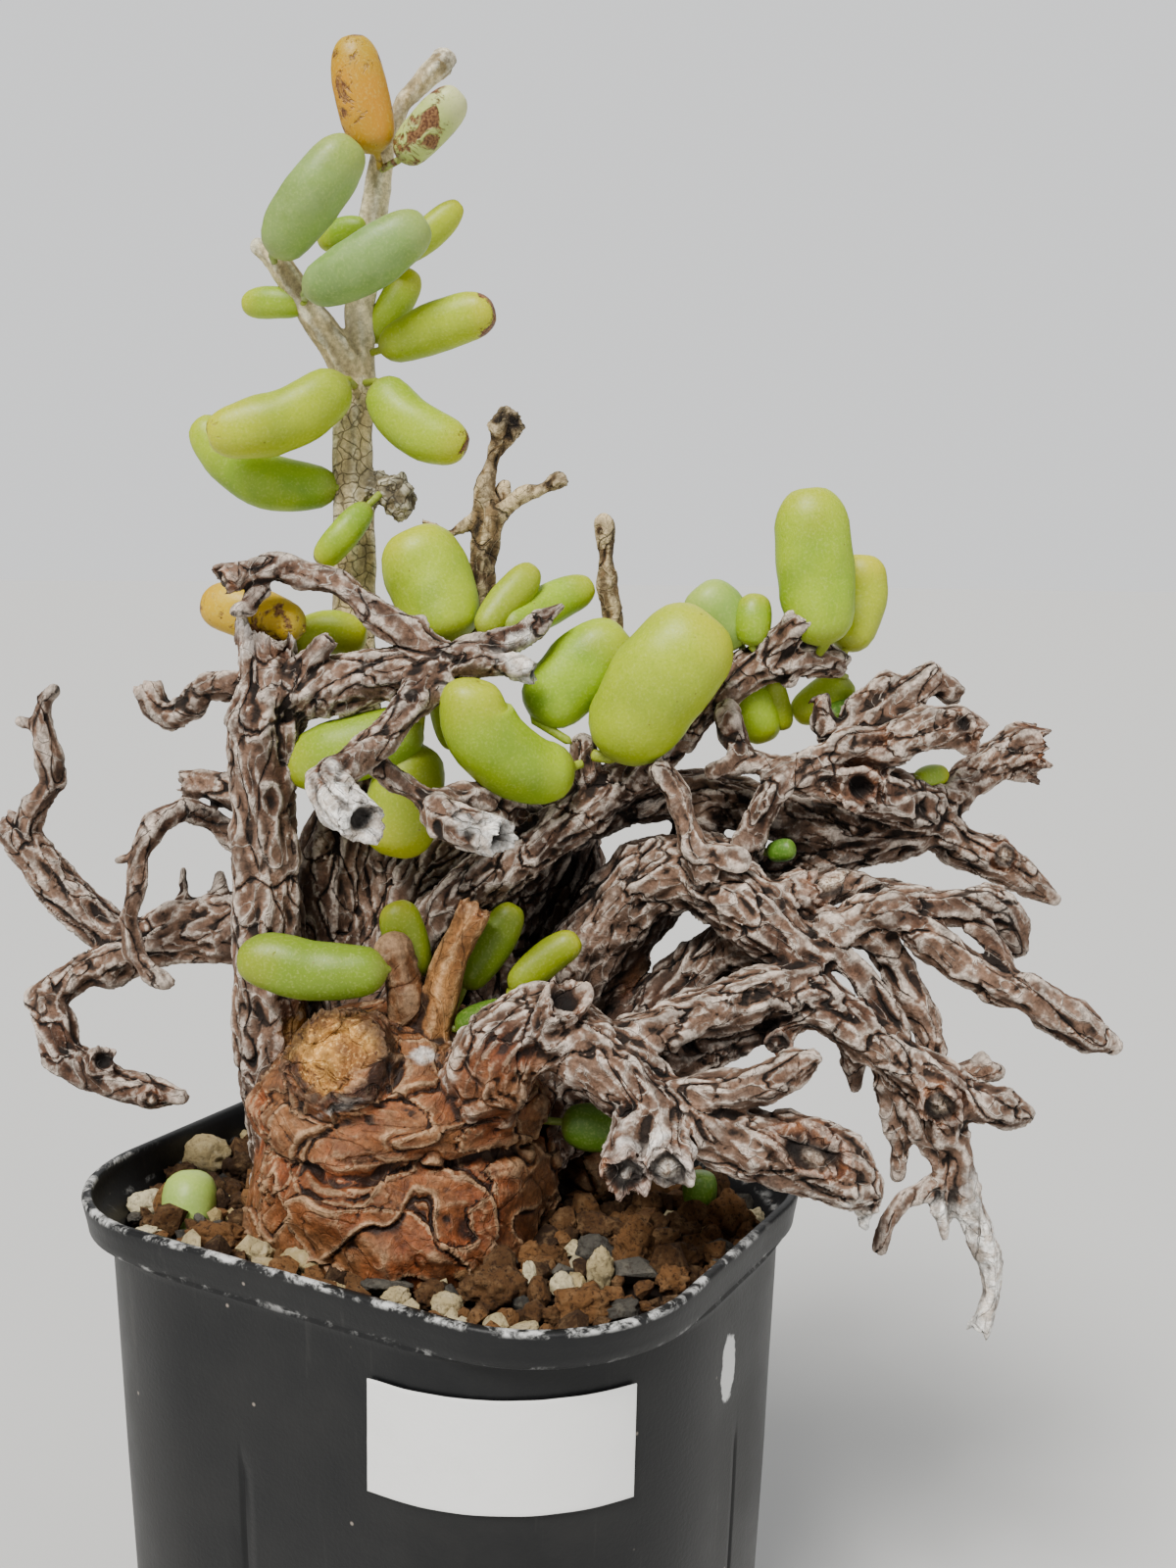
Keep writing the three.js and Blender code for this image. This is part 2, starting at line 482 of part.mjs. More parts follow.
      [60, -2.8, -19, 1.6]] },
    { sides: 4, route: [[60.4, -3.4, -19, 1.4], [58.5, -3.8, -19, 1.3], [54, -5.5, -20, 1],
      [51.6, -9, -21, 1],
      [50.7, -12.6, -22, 1]] },
    { sides: 4, route: [[58.4, -3.4, -19, 1.4], [58.8, -7, -20, 1.3], [59.2, -10.8, -20, 0.8]] },
    { sides: 4, route: [[46, 16.5, -17, 1.9], [46.4, 14, -16, 1.6], [47, 9, -15, 1.1]] },
    { sides: 6, route: [[39, 23, -14, 3], [41.2, 26, -14, 2.8], [43.7, 29.2, -13, 2.6],
      [47.4, 31.4, -12, 2.4],
      [52, 32.9, -12, 2.2], [56.8, 32.5, -12, 1.9], [60.5, 33, -12, 2.1], [63.8, 33.3, -11, 2.1],
      [66, 30.9, -10, 1.9], [66.5, 27.5, -9, 1.6]] },
    { route: [[48.5, 32, -12, 2.2], [50.5, 32, -13, 2.1], [54.4, 29.8, -14, 2.3], [59.3, 25.8, -16, 2.3],
      [64.2, 22.8, -17, 2.3], [68.3, 21.8, -18, 2.5], [73.3, 18.4, -19, 2.6], [76.9, 16.5, -20, 2.4],
      [79.4, 15, -20, 1]] },
    { sides: 4, route: [[60.2, 32.6, -12, 1.6], [62.4, 29.5, -13, 1.5], [64.6, 26.5, -15, 1.5],
      [65.6, 23.4, -17, 1.5]] },
    { route: [[46.5, 30, -12, 2.2], [49, 28.6, -11, 2.2], [51.3, 26, -11, 2.1], [53.3, 22, -12, 2.1],
      [55.5, 17.6, -14, 2.1], [57, 13.6, -15, 1.7]] },
    { sides: 4, route: [[42.5, 26.4, -14, 2.2], [44.8, 25.6, -14, 1.7], [47.4, 23.5, -15, 1.7],
      [50, 20.3, -16, 1.7],
      [52, 17, -17, 1.6], [52.8, 13.4, -18, 1.6]] },
  ] },
  upper_right_limb: { bark: "grey", tubes: [
    { sides: 6, route: [[9, 43, 3, 3.4], [18, 46, 3, 3.3], [27, 46.5, 1, 3.2], [36, 44, -0.6, 3.2],
      [45, 42.5, -0.6, 3.6]] },
    { sides: 6, steps: 2, route: [[27, 38.5, 1, 4.1], [33, 36.5, 0, 3.6], [39.6, 37.5, 1.2, 3.6],
      [45, 41, 0.4, 3.6],
      [51, 42.6, -0.3, 3.8], [55.6, 43.2, -0.2, 3.4], [58.5, 40.8, 0.4, 2.5], [62.7, 38.8, 0.3, 2.7],
      [66.2, 37.2, 0.1, 2.3],
      [68.5, 35.5, 0.6, 1.5], [71, 33.8, 1.1, 1]] },
    { sides: 6, route: [[27, 38.5, 1, 3.6], [26.5, 42, 1, 3.4], [26, 46.5, 1, 3.1]] },
    { end: "cup", sides: 4, route: [[64, 39.5, 0.1, 2.1], [64.7, 39.3, -2.2, 1.8]] },
    { sides: 6, end: "cup", route: [[54.5, 43.6, -0.5, 2.8], [56.4, 45, -0.1, 2.5], [59.2, 48.4, 1.5, 2.2],
      [62.5, 51, 2.3, 2.5], [65.6, 52.3, 3, 3.4], [68, 52, 3.5, 3.9]] },
    { sides: 6, route: [[31, 37.5, -2, 2.5], [32.9, 40.7, -7, 1.9], [34.9, 46, -8.8, 1.8],
      [36.8, 49.4, -8.4, 2.1],
      [40.6, 49, -7.5, 2.5], [45.7, 47.8, -6.4, 3.3], [50, 46.7, -4.5, 3.6], [54.3, 45, -1.5, 3.6]] },
    { end: "cup", sides: 6, route: [[46, 47.9, -6.4, 3], [46.5, 47.7, -9.8, 2.7]] },
    { end: "cup", route: [[36.8, 49.4, -8.4, 1.9], [41.4, 51.5, -8.4, 1.8], [45.5, 53.3, -8.5, 1.8],
      [48.4, 53.3, -7.8, 1.7]] },
    { end: "cup", sides: 6, route: [[43.5, 48.4, -6.9, 2.5], [45.5, 49, -7, 2.5], [48, 51.2, -6.9, 2.6],
      [51.3, 53.8, -7.2, 2.7], [54.5, 55.1, -7.5, 2.7], [57.8, 55.2, -6.8, 2.5], [60.5, 53.8, -6.2, 1.9]] },
    { end: "cup", sides: 4, route: [[58.6, 55, -6.6, 1.8], [58.6, 55.6, -9.2, 1.5]] },
    { route: [[42.5, 51, -7.1, 1.8], [44, 54, -4.8, 1.8], [49.3, 57.1, -3.6, 2.1], [52.7, 59.2, -2.9, 2.3],
      [54.8, 61.3, -2.4, 2.1], [57.6, 59.3, -1.8, 1.5]] },
    { sides: 4, route: [[43.6, 53.8, -4.9, 1.6], [45.3, 56.6, -3.5, 1.5], [47.7, 59.5, -3, 1.5],
      [49.4, 60.5, -2.6, 1.6],
      [51, 59.6, -2.3, 1.4]] },
    { sides: 4, end: "cup", route: [[42.8, 52, -6.1, 1.6], [41.8, 55.5, -4.3, 1.6],
      [41.2, 59.2, -4.4, 1.5]] },
    { sides: 4, route: [[36, 49.6, -8.6, 1.6], [34.2, 50.6, -8, 1.4], [31.9, 50.9, -7, 1.6],
      [30.4, 53.8, -6, 1.7],
      [29.5, 57, -6, 1.5]] },
    { sides: 4, route: [[31.6, 50.8, -7, 1.4], [27.8, 49.2, -7, 1.4]] },
  ] },
  reddish_stump: { bark: "brown", tubes: [
    { sides: 6, end: "cup", route: [[14, -2, 2, 5], [15, 4, 2, 4.5], [17, 16, 3, 3.6], [17, 26, 3, 3.4],
      [17.5, 28.5, 3, 3]] },
  ] },
  tall_stalk: { bark: "dry", tubes: [
    { route: [[-5.5, 61, -7, 2], [-2.4, 62.6, -1, 2], [-1, 65.5, 3, 2], [-0.4, 71.7, 4, 1.8],
      [0, 77, 4, 1.8], [0.3, 80, 4, 1.7],
      [-0.1, 83.4, 4, 1.1], [0.8, 87, 4, 1], [1.9, 88.8, 4, 1.3], [2.5, 91, 4, 2.1], [2.5, 92, 4, 1.6]] },
    { sides: 4, route: [[0.5, 79, 5, 1.2], [2.6, 84, 5, 0.9]] },
    { sides: 4, route: [[0.3, 79, 4, 1.2], [2.8, 81.5, 3, 0.9], [5, 83.2, 2, 0.8], [7.3, 83.8, 2, 0.8],
      [8.9, 84.8, 2, 1.2]] },
    { sides: 4, route: [[0, 80, 4, 1.1], [-2.1, 79.4, 4, 0.8], [-4.4, 78.1, 4, 0.7],
      [-7.3, 79.4, 5, 0.8]] },
  ] },
  short_stalk: { bark: "dry", tubes: [
    { route: [[17.5, 48.6, -2, 1.6], [16.4, 56, 0, 1.5], [15.6, 63, 2, 1.4], [15.6, 68.2, 2, 1.3],
      [14.9, 72, 2, 1.3], [14.6, 76, 2, 1],
      [14.3, 79.7, 2, 1.1]] },
  ] },
  young_stem: { bark: "young", tubes: [
    { end: "cup", sides: 6, route: [[-6.5, 15, -14, 2.3], [-6, 17.5, -14, 2.2], [-4.8, 23.6, -13, 2.1],
      [-2.8, 28.3, -12, 2], [-0.9, 32.3, -11, 1.9]] },
  ] },
};

// The stem that each group of leaves grows from, unless a leaf names another or lies on the soil
const LEAF_HOMES = {
  crown: "pale_stem", middle: "upper_limb", right: "diagonal_limb", low: "caudex",
};

// Leaves: route from the base to the tip, width, and colour
const LEAVES = {
  crown: [
    { tint: "orange", width: 6.6, route: [[-12.7, 122, 6], [-14.4, 128, 5.5], [-15.5, 135.3, 5]] },
    { tint: "cream", width: 5.2, route: [[-10.2, 121.3, 6], [-6.5, 125.2, 5], [-2.8, 129.1, 4]] },
    { tint: "blue", width: 7.3, route: [[-25.2, 110.3, 4], [-20.5, 117, 2], [-15.1, 123.6, 2]] },
    { tint: "blue", width: 6.8, route: [[-21.5, 106, 3], [-13.7, 110, 1], [-6.8, 114.7, 1]] },
    { tint: "lime", width: 4, route: [[-12, 110.5, 9], [-8, 112, 9], [-2.8, 116.6, 9]] },
    { tint: "lime", width: 4, route: [[-13.6, 113.4, 10], [-16.5, 113, 11], [-19.8, 112, 12]] },
    { tint: "lime", width: 4.5, route: [[-13.4, 100.5, 11], [-10.8, 104.8, 11.5], [-8.5, 109, 12]] },
    { tint: "lime", width: 6.2, route: [[-12.6, 99.6, 8], [-5, 102.7, 6], [1.2, 104.4, 4]] },
    { tint: "lime", width: 4, route: [[-21.5, 104.8, 8], [-25, 105, 9], [-28.9, 104.7, 10]] },
    { tint: "lime", width: 7.6, route: [[-16.4, 96.2, 4], [-23.7, 91.5, 2], [-33.6, 89.2, 0]] },
    { tint: "lime", width: 7, route: [[-17.6, 83.4, 8], [-27.1, 84.5, 8], [-35, 91.2, 8]] },
    { tint: "lime", width: 6.8, route: [[-13, 96, 6], [-8.9, 91, 4], [-2.1, 88, 3]] },
    { tint: "lime", width: 3.9, route: [[-14, 81.5, 5], [-17.2, 77.8, 3], [-20.3, 74.2, 3]] },
  ],
  middle: [
    { tint: "lime", width: 10.4, route: [[-4.4, 64.8, -4], [-6.4, 71.8, -1], [-9.5, 78.8, -1]] },
    { tint: "lime", on: "tall_stalk", width: 5.5, route: [[-3.4, 66, 6], [-4.4, 71, 7], [-5.2, 76.3, 7]] },
    { tint: "lime", width: 4.6, route: [[-0.6, 66, -5], [2.6, 70, -3], [6.1, 74.4, -1]] },
    { tint: "lime", width: 5, route: [[2.6, 66.6, -5], [7.6, 69.6, 0], [13.2, 72.3, 2]] },
    { tint: "amber", width: 6.5, route: [[-22, 66.5, -4], [-28.6, 68.4, -2], [-34.6, 69.5, -1]] },
    { tint: "lime", width: 5.5, route: [[-24, 64.4, -1], [-19.5, 66, 1], [-14.3, 65.5, 1]] },
    { tint: "lime", width: 8, route: [[-8, 55.2, -8], [-12.7, 52.8, -7], [-19, 51, -6],
      [-24.4, 48.5, -5]] },
    { tint: "lime", width: 9, route: [[-8.2, 52.6, -6], [-9.9, 45, -6], [-11.4, 38.2, -6]] },
    { tint: "lime", width: 4.5, route: [[-5.4, 59.5, -5], [-4.2, 55, -3], [-3, 52, -2]] },
    { tint: "lime", on: "diagonal_limb", width: 9, route: [[11, 49.9, -7], [6.2, 49.4, -9],
      [1.4, 52, -11], [-1.2, 56.6, -12],
      [-0.4, 60.4, -13]] },
    { tint: "lime", on: "diagonal_limb", width: 9, route: [[6, 55.6, -5], [11.2, 61.4, -4],
      [17.4, 66.6, -4]] },
    { tint: "lime", on: "diagonal_limb", width: 12.2, route: [[15.5, 51, -7], [21.5, 60.6, -10],
      [28, 68.6, -10]] },
  ],
  right: [
    { tint: "pale", width: 7, route: [[31.3, 65, -1], [28.6, 68.4, -2], [25.5, 72, -2]] },
    { tint: "lime", width: 4.3, route: [[32.5, 64.9, -4], [32.7, 68, -4], [32.9, 71.3, -3]] },
    { tint: "lime", width: 9.3, route: [[41.4, 65, -6], [40, 74.5, -5], [38.9, 84.3, -5]] },
    { tint: "lime", width: 6.8, route: [[44, 64.5, -1], [45.4, 70.4, 2], [45.7, 76.3, 2]] },
    { tint: "lime", width: 5.5, route: [[32.4, 60.2, 0], [33.2, 57, 0], [34.6, 53, 0]] },
    { tint: "lime", width: 3, route: [[35.4, 61, -1], [36, 57.6, 0], [37, 54.6, 0]] },
    { tint: "lime", width: 5, route: [[44.2, 61.2, 0], [42.4, 59.3, 1], [37.8, 56.2, 1]] },
    { tint: "deep", on: "upper_right_limb", width: 3.6, route: [[42.2, 56, -2], [44.2, 57.2, 0],
      [46.4, 58.2, 0]] },
    { tint: "lime", on: "upper_right_limb", width: 2.8, route: [[53.2, 48.4, -4], [55, 49.1, -2],
      [57, 49.4, 0]] },
    { tint: "deep", on: "upper_right_limb", width: 2.8, route: [[35.2, 39.2, -6], [36.8, 39.6, -7],
      [38.6, 39.8, -8]] },
  ],
  low: [
    { tint: "lime", width: 7, route: [[-12.1, 24, -16], [-16.8, 23.6, -16], [-21.3, 23.6, -16],
      [-26.6, 24.8, -16],
      [-31.3, 24.9, -16]] },
    { tint: "lime", width: 5.2, route: [[-8.3, 22.8, -11], [-9.8, 28, -11], [-11.4, 32.7, -11]] },
    { tint: "lime", on: "young_stem", width: 4.8, route: [[-2.6, 21.6, -8], [0.8, 27, -7], [4, 32.5, -6]] },
    { tint: "lime", width: 4.3, route: [[3.2, 21.4, -10], [7.6, 25.4, -9], [11.9, 28.3, -9]] },
    { tint: "deep", on: "young_stem", width: 4.5, route: [[-3.6, 16.3, -14], [0, 17.4, -15],
      [3.4, 18.6, -16]] },
    { tint: "deep", width: 5.8, route: [[9.8, 4.2, -12], [14.2, 3.5, -12], [18.8, 3.1, -12]] },
    { tint: "deep", on: "soil", width: 4.4, thick: 1, route: [[27.6, -7.2, -7.5], [27.6, -4.6, -7],
      [27.5, -2, -6.5]] },
    { tint: "fallen", on: "soil", width: 6.8, thick: 0.95, route: [[-38.4, -12.2, -9.5],
      [-37.9, -7.6, -7.5], [-37.6, -2.6, -5.5]] },
  ],
};

const BARKS = {
  brown: [0x8a5138, 0.85],
  grey: [0x8d7f76, 0.9],
  pale: [0xb9a288, 0.85],
  dry: [0xa39480, 0.95],
  young: [0xa8703f, 0.8],
};
const TINTS = {
  lime: 0x9db53c,
  blue: 0x8fae8c,
  orange: 0xd98a2c,
  amber: 0xd9a93a,
  cream: 0xd6cf9a,
  pale: 0xb4c49a,
  deep: 0x5f8a34,
  fallen: 0xa9cc66,
};

function meshOf(name, shape, colour, roughness) {
  const body = shape.getMesh();
  const geometry = new THREE.BufferGeometry();
  geometry.setAttribute("position", new THREE.BufferAttribute(new Float32Array(body.vertProperties), 3));
  geometry.setIndex(new THREE.BufferAttribute(new Uint32Array(body.triVerts), 1));
  geometry.computeVertexNormals();
  const material = new THREE.MeshStandardMaterial({ color: colour, roughness, metalness: 0 });
  const mesh = new THREE.Mesh(geometry, material);
  mesh.name = name;
  return mesh;
}

// The largest body of a cut shape, without the slivers that cutting leaves
function largest(shape, sliver) {
  const bodies = shape.simplify(sliver).decompose();
  return bodies.reduce((best, next) => (next.volume() > best.volume() ? next : best));
}

// Whatever is placed cuts later pieces clear of itself by the gap
const placed = [];

// Points along the middle of each stem, for the leaves to start from
const middles = {};

function clearOf(shape) {
  let left = shape;
  const box = shape.boundingBox();
  for (const other of placed) {
    const against = other.boundingBox();
    const apart = [0, 1, 2].some((i) => box.max[i] < against.min[i] || against.max[i] < box.min[i]);
    if (!apart) left = left.subtract(other);
  }
  return left;
}

function stemBody(stem, extra) {
  return together(stem.tubes.map((tube) => stemTube(tube, extra)));
}

// Stones of the soil: rough lumps of random size and turn, close together over the bed
function makeGrains(top) {
  const grains = [];
  const turn = new THREE.Euler();
  const stem = inPot(new THREE.Vector3(CAUDEX_CENTRE[0], CAUDEX_CENTRE[1], 0));
  for (let i = 0; i < GRAIN_COUNT; i += 1) {
    const share = Math.sqrt((i + 0.5) / GRAIN_COUNT);
    const angle = i * GOLDEN_ANGLE;
    const x = (RIM_HALF_X - 4.2) * Math.max(Math.min(share * 1.18 * Math.cos(angle), 1), -1);
    const y = (RIM_HALF_Y - 4.2) * Math.max(Math.min(share * 1.18 * Math.sin(angle), 1), -1);
    if (Math.hypot(x - stem.x, y - stem.y) < CAUDEX_CLEAR) continue;
    const size = GRAIN_SMALL + (GRAIN_LARGE - GRAIN_SMALL) * random();
    const lump = new THREE.OctahedronGeometry(size * 1.15, 0);
    lump.scale(1, 0.75 + 0.25 * random(), 0.7 + 0.2 * random());
    turn.set(6.28 * random(), 6.28 * random(), 6.28 * random());
    lump.applyMatrix4(new THREE.Matrix4().makeRotationFromEuler(turn));
    lump.translate(x, y, top + 0.25 * size + 0.6 * random());
    grains.push(solid(lump));
  }
  return together(grains);
}

function makeSoil() {
  const top = POT_HEIGHT - SOIL_DEPTH;
  const bed = inside(GAP, FLOOR + GAP, top);
  const room = inside(GAP, FLOOR + GAP, POT_HEIGHT + 4);
  return largest(clearOf(bed.add(makeGrains(top).intersect(room))), SOIL_SLIVER);
}

const group = new THREE.Group();
group.name = "potted_caudex_plant";
group.add(meshOf("pot", makePot(), 0x26272a, 0.55));
group.add(meshOf("label", makeLabel(), 0xf2f2f0, 0.6));

const caudexTubes = { tubes: [
  { sides: 9, end: "cup", route: [[-16, 9, -14, 7], [-18.2, 11.5, -20, 6.4], [-19.4, 13, -23, 5.8]] },
  { sides: 5, route: [[-9, 16, -13, 1.6], [-9.7, 20.4, -14, 1.5], [-10.9, 24.5, -14, 1.3],
    [-11.4, 27, -14, 1.2]] },
] };
middles.caudex = CAUDEX_RINGS.filter(([z]) => z > 0).map(([z, radius]) => ({
  centre: inPot(new THREE.Vector3(CAUDEX_CENTRE[0], CAUDEX_CENTRE[1], z)),
  radius,
}));
middles.caudex.push(...middleOf(caudexTubes.tubes[1]));
const caudexSeed = seed;
placed.push(caudexBody(GAP).add(stemBody(caudexTubes, GAP)));
seed = caudexSeed;
group.add(meshOf("caudex", caudexBody(0).add(stemBody(caudexTubes, 0)), ...BARKS.brown));

for (const [name, stem] of Object.entries(STEMS)) {
  const stemSeed = seed;
  const larger = stemBody(stem, GAP);
  seed = stemSeed;
  const shape = largest(clearOf(stemBody(stem, 0)), STEM_SLIVER);
  placed.push(larger);
  middles[name] = stem.tubes.flatMap(middleOf);
  group.add(meshOf(name, shape, ...BARKS[stem.bark]));
}

for (const [place, leaves] of Object.entries(LEAVES)) {
  leaves.forEach((leaf, i) => {
    const laid = { ...leaf, root: rootOf(leaf, leaf.on ?? LEAF_HOMES[place]) };
    const shape = largest(clearOf(leafBody(laid, 0)), LEAF_SLIVER);
    placed.push(leafBody(laid, GAP));
    group.add(meshOf(`leaf_${place}_${i + 1}`, shape, TINTS[leaf.tint], 0.5));
  });
}

group.add(meshOf("soil", makeSoil(), 0x6e4a33, 0.95));

export default group;
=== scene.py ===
"""Bark, leaves, soil, pot and studio of a potted caudex plant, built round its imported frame."""

import math
import random

import bmesh
import bpy
import numpy as np
from bpy.props import (
    FloatProperty,
    FloatVectorProperty,
    IntProperty,
    PointerProperty,
)
from mathutils import Matrix, Vector, noise
from mathutils.bvhtree import BVHTree


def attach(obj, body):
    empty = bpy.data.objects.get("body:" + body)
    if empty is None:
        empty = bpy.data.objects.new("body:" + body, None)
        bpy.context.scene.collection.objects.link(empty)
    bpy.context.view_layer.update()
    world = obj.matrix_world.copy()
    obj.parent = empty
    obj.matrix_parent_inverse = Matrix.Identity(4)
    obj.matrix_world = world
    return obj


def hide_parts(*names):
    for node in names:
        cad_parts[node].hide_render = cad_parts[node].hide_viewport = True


bl_info = {
    "name": "Potted caudex plant",
    "version": (1, 0, 0),
    "blender": (4, 5, 0),
    "location": "3D View > Sidebar > Caudex plant",
    "description": "Builds the bark, leaves, soil, pot and studio of a potted caudex plant",
    "category": "Add Mesh",
}

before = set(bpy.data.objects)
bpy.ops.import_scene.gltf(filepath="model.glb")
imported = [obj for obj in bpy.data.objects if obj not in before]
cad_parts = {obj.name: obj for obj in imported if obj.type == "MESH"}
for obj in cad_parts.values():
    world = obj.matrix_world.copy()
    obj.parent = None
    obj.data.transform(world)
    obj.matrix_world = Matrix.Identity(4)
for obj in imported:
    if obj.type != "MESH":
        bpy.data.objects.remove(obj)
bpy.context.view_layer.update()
MM = 0.001

# The pot, in millimetres
POT_HEIGHT = 75.0
RIM_HALF_X = 40.0
RIM_HALF_Y = 31.5
RIM_CORNER = 18.6
BAND_HEIGHT = 4.2
BAND_FLARE = 0.5
BAND_STEP = 0.5
WALL_CORNER = 25.0
WALL_TAPER = 0.028
WALL = 1.3
FLOOR = 1.6
DRAIN_PLACES = [(19, 11), (-19, 11), (19, -11), (-19, -11)]
GROOVE_TOP = 52.0
GROOVE_DEPTH = 0.45
GROOVE_FRONT_X = -6.5
GROOVE_SIDE_Y = 1.2
SOIL_TOP = 69.6

# The plant's frame in the pot, and the eye that the photograph was taken from
PLANT_TURN = math.radians(29.02)
PLANT_CENTRE = Vector((-4.35, -7.87, 0.0))
EYE = Vector((12.74, -196.24, 75.39))
EYE_PITCH = math.radians(8.029)
EYE_ROLL = math.radians(0.575)
LENS = 36.815

# Each stem with its kind of bark
STEMS = {
    "caudex": "red", "left_trunk": "grey", "back_limb": "grey", "pale_stem": "pale",
    "upper_limb": "grey", "diagonal_limb": "grey", "front_limb": "grey", "right_limb": "grey",
    "upper_right_limb": "grey", "reddish_stump": "red", "tall_stalk": "dry", "short_stalk": "dry",
    "young_stem": "young",
}
BARK_KINDS = ("red", "pale", "dry", "young")

# Leaves by group: tint, width, and the route from base to tip as seen from the front
LEAVES = {
    "crown": [
        ("orange", 6.6, [(-12.7, 122, 6), (-14.4, 128, 5.5), (-15.5, 135.3, 5)]),
        ("cream", 5.2, [(-10.2, 121.3, 6), (-6.5, 125.2, 5), (-2.8, 129.1, 4)]),
        ("blue", 7.3, [(-25.2, 110.3, 4), (-20.5, 117, 2), (-15.1, 123.6, 2)]),
        ("blue", 6.8, [(-21.5, 106, 3), (-13.7, 110, 1), (-6.8, 114.7, 1)]),
        ("lime", 4, [(-12, 110.5, 9), (-8, 112, 9), (-2.8, 116.6, 9)]),
        ("lime", 4, [(-13.6, 113.4, 10), (-16.5, 113, 11), (-19.8, 112, 12)]),
        ("lime", 4.5, [(-13.4, 100.5, 11), (-10.8, 104.8, 11.5), (-8.5, 109, 12)]),
        ("lime", 6.2, [(-12.6, 99.6, 8), (-5, 102.7, 6), (1.2, 104.4, 4)]),
        ("lime", 4, [(-21.5, 104.8, 8), (-25, 105, 9), (-28.9, 104.7, 10)]),
        ("lime", 7.6, [(-16.4, 96.2, 4), (-23.7, 91.5, 2), (-33.6, 89.2, 0)]),
        ("lime", 7, [(-17.6, 83.4, 8), (-27.1, 84.5, 8), (-35, 91.2, 8)]),
        ("lime", 6.8, [(-13, 96, 6), (-8.9, 91, 4), (-2.1, 88, 3)]),
        ("lime", 3.9, [(-14, 81.5, 5), (-17.2, 77.8, 3), (-20.3, 74.2, 3)]),
    ],
    "middle": [
        ("lime", 10.4, [(-4.4, 64.8, -4), (-6.4, 71.8, -1), (-9.5, 78.8, -1)]),
        ("lime", 5.5, [(-3.4, 66, 6), (-4.4, 71, 7), (-5.2, 76.3, 7)]),
        ("lime", 4.6, [(-0.6, 66, -5), (2.6, 70, -3), (6.1, 74.4, -1)]),
        ("lime", 5, [(2.6, 66.6, -5), (7.6, 69.6, 0), (13.2, 72.3, 2)]),
        ("amber", 6.5, [(-22, 66.5, -4), (-28.6, 68.4, -2), (-34.6, 69.5, -1)]),
        ("lime", 5.5, [(-24, 64.4, -1), (-19.5, 66, 1), (-14.3, 65.5, 1)]),
        ("lime", 8, [(-8, 55.2, -8), (-12.7, 52.8, -7), (-19, 51, -6), (-24.4, 48.5, -5)]),
        ("lime", 9, [(-8.2, 52.6, -6), (-9.9, 45, -6), (-11.4, 38.2, -6)]),
        ("lime", 4.5, [(-5.4, 59.5, -5), (-4.2, 55, -3), (-3, 52, -2)]),
        ("lime", 9, [(11, 49.9, -7), (6.2, 49.4, -9), (1.4, 52, -11), (-1.2, 56.6, -12),
                     (-0.4, 60.4, -13)]),
        ("lime", 9, [(6, 55.6, -5), (11.2, 61.4, -4), (17.4, 66.6, -4)]),
        ("lime", 12.2, [(15.5, 51, -7), (21.5, 60.6, -10), (28, 68.6, -10)]),
    ],
    "right": [
        ("pale", 7, [(31.3, 65, -1), (28.6, 68.4, -2), (25.5, 72, -2)]),
        ("lime", 4.3, [(32.5, 64.9, -4), (32.7, 68, -4), (32.9, 71.3, -3)]),
        ("lime", 9.3, [(41.4, 65, -6), (40, 74.5, -5), (38.9, 84.3, -5)]),
        ("lime", 6.8, [(44, 64.5, -1), (45.4, 70.4, 2), (45.7, 76.3, 2)]),
        ("lime", 5.5, [(32.4, 60.2, 0), (33.2, 57, 0), (34.6, 53, 0)]),
        ("lime", 3, [(35.4, 61, -1), (36, 57.6, 0), (37, 54.6, 0)]),
        ("lime", 5, [(44.2, 61.2, 0), (42.4, 59.3, 1), (37.8, 56.2, 1)]),
        ("deep", 3.6, [(42.2, 56, -2), (44.2, 57.2, 0), (46.4, 58.2, 0)]),
        ("lime", 2.8, [(53.2, 48.4, -4), (55, 49.1, -2), (57, 49.4, 0)]),
        ("deep", 2.8, [(35.2, 39.2, -6), (36.8, 39.6, -7), (38.6, 39.8, -8)]),
    ],
    "low": [
        ("lime", 7, [(-12.1, 24, -16), (-16.8, 23.6, -16), (-21.3, 23.6, -16),
                     (-26.6, 24.8, -16), (-31.3, 24.9, -16)]),
        ("lime", 5.2, [(-8.3, 22.8, -11), (-9.8, 28, -11), (-11.4, 32.7, -11)]),
        ("lime", 4.8, [(-2.6, 21.6, -8), (0.8, 27, -7), (4, 32.5, -6)]),
        ("lime", 4.3, [(3.2, 21.4, -10), (7.6, 25.4, -9), (11.9, 28.3, -9)]),
        ("deep", 4.5, [(-3.6, 16.3, -14), (0, 17.4, -15), (3.4, 18.6, -16)]),
        ("deep", 5.8, [(9.8, 4.2, -12), (14.2, 3.5, -12), (18.8, 3.1, -12)]),
        ("deep", 4.4, [(27.6, -7.2, -7.5), (27.6, -4.6, -7), (27.5, -2, -6.5)]),
        ("fallen", 6.8, [(-38.4, -12.2, -9.5), (-37.9, -7.6, -7.5), (-37.6, -2.6, -5.5)]),
    ],
}

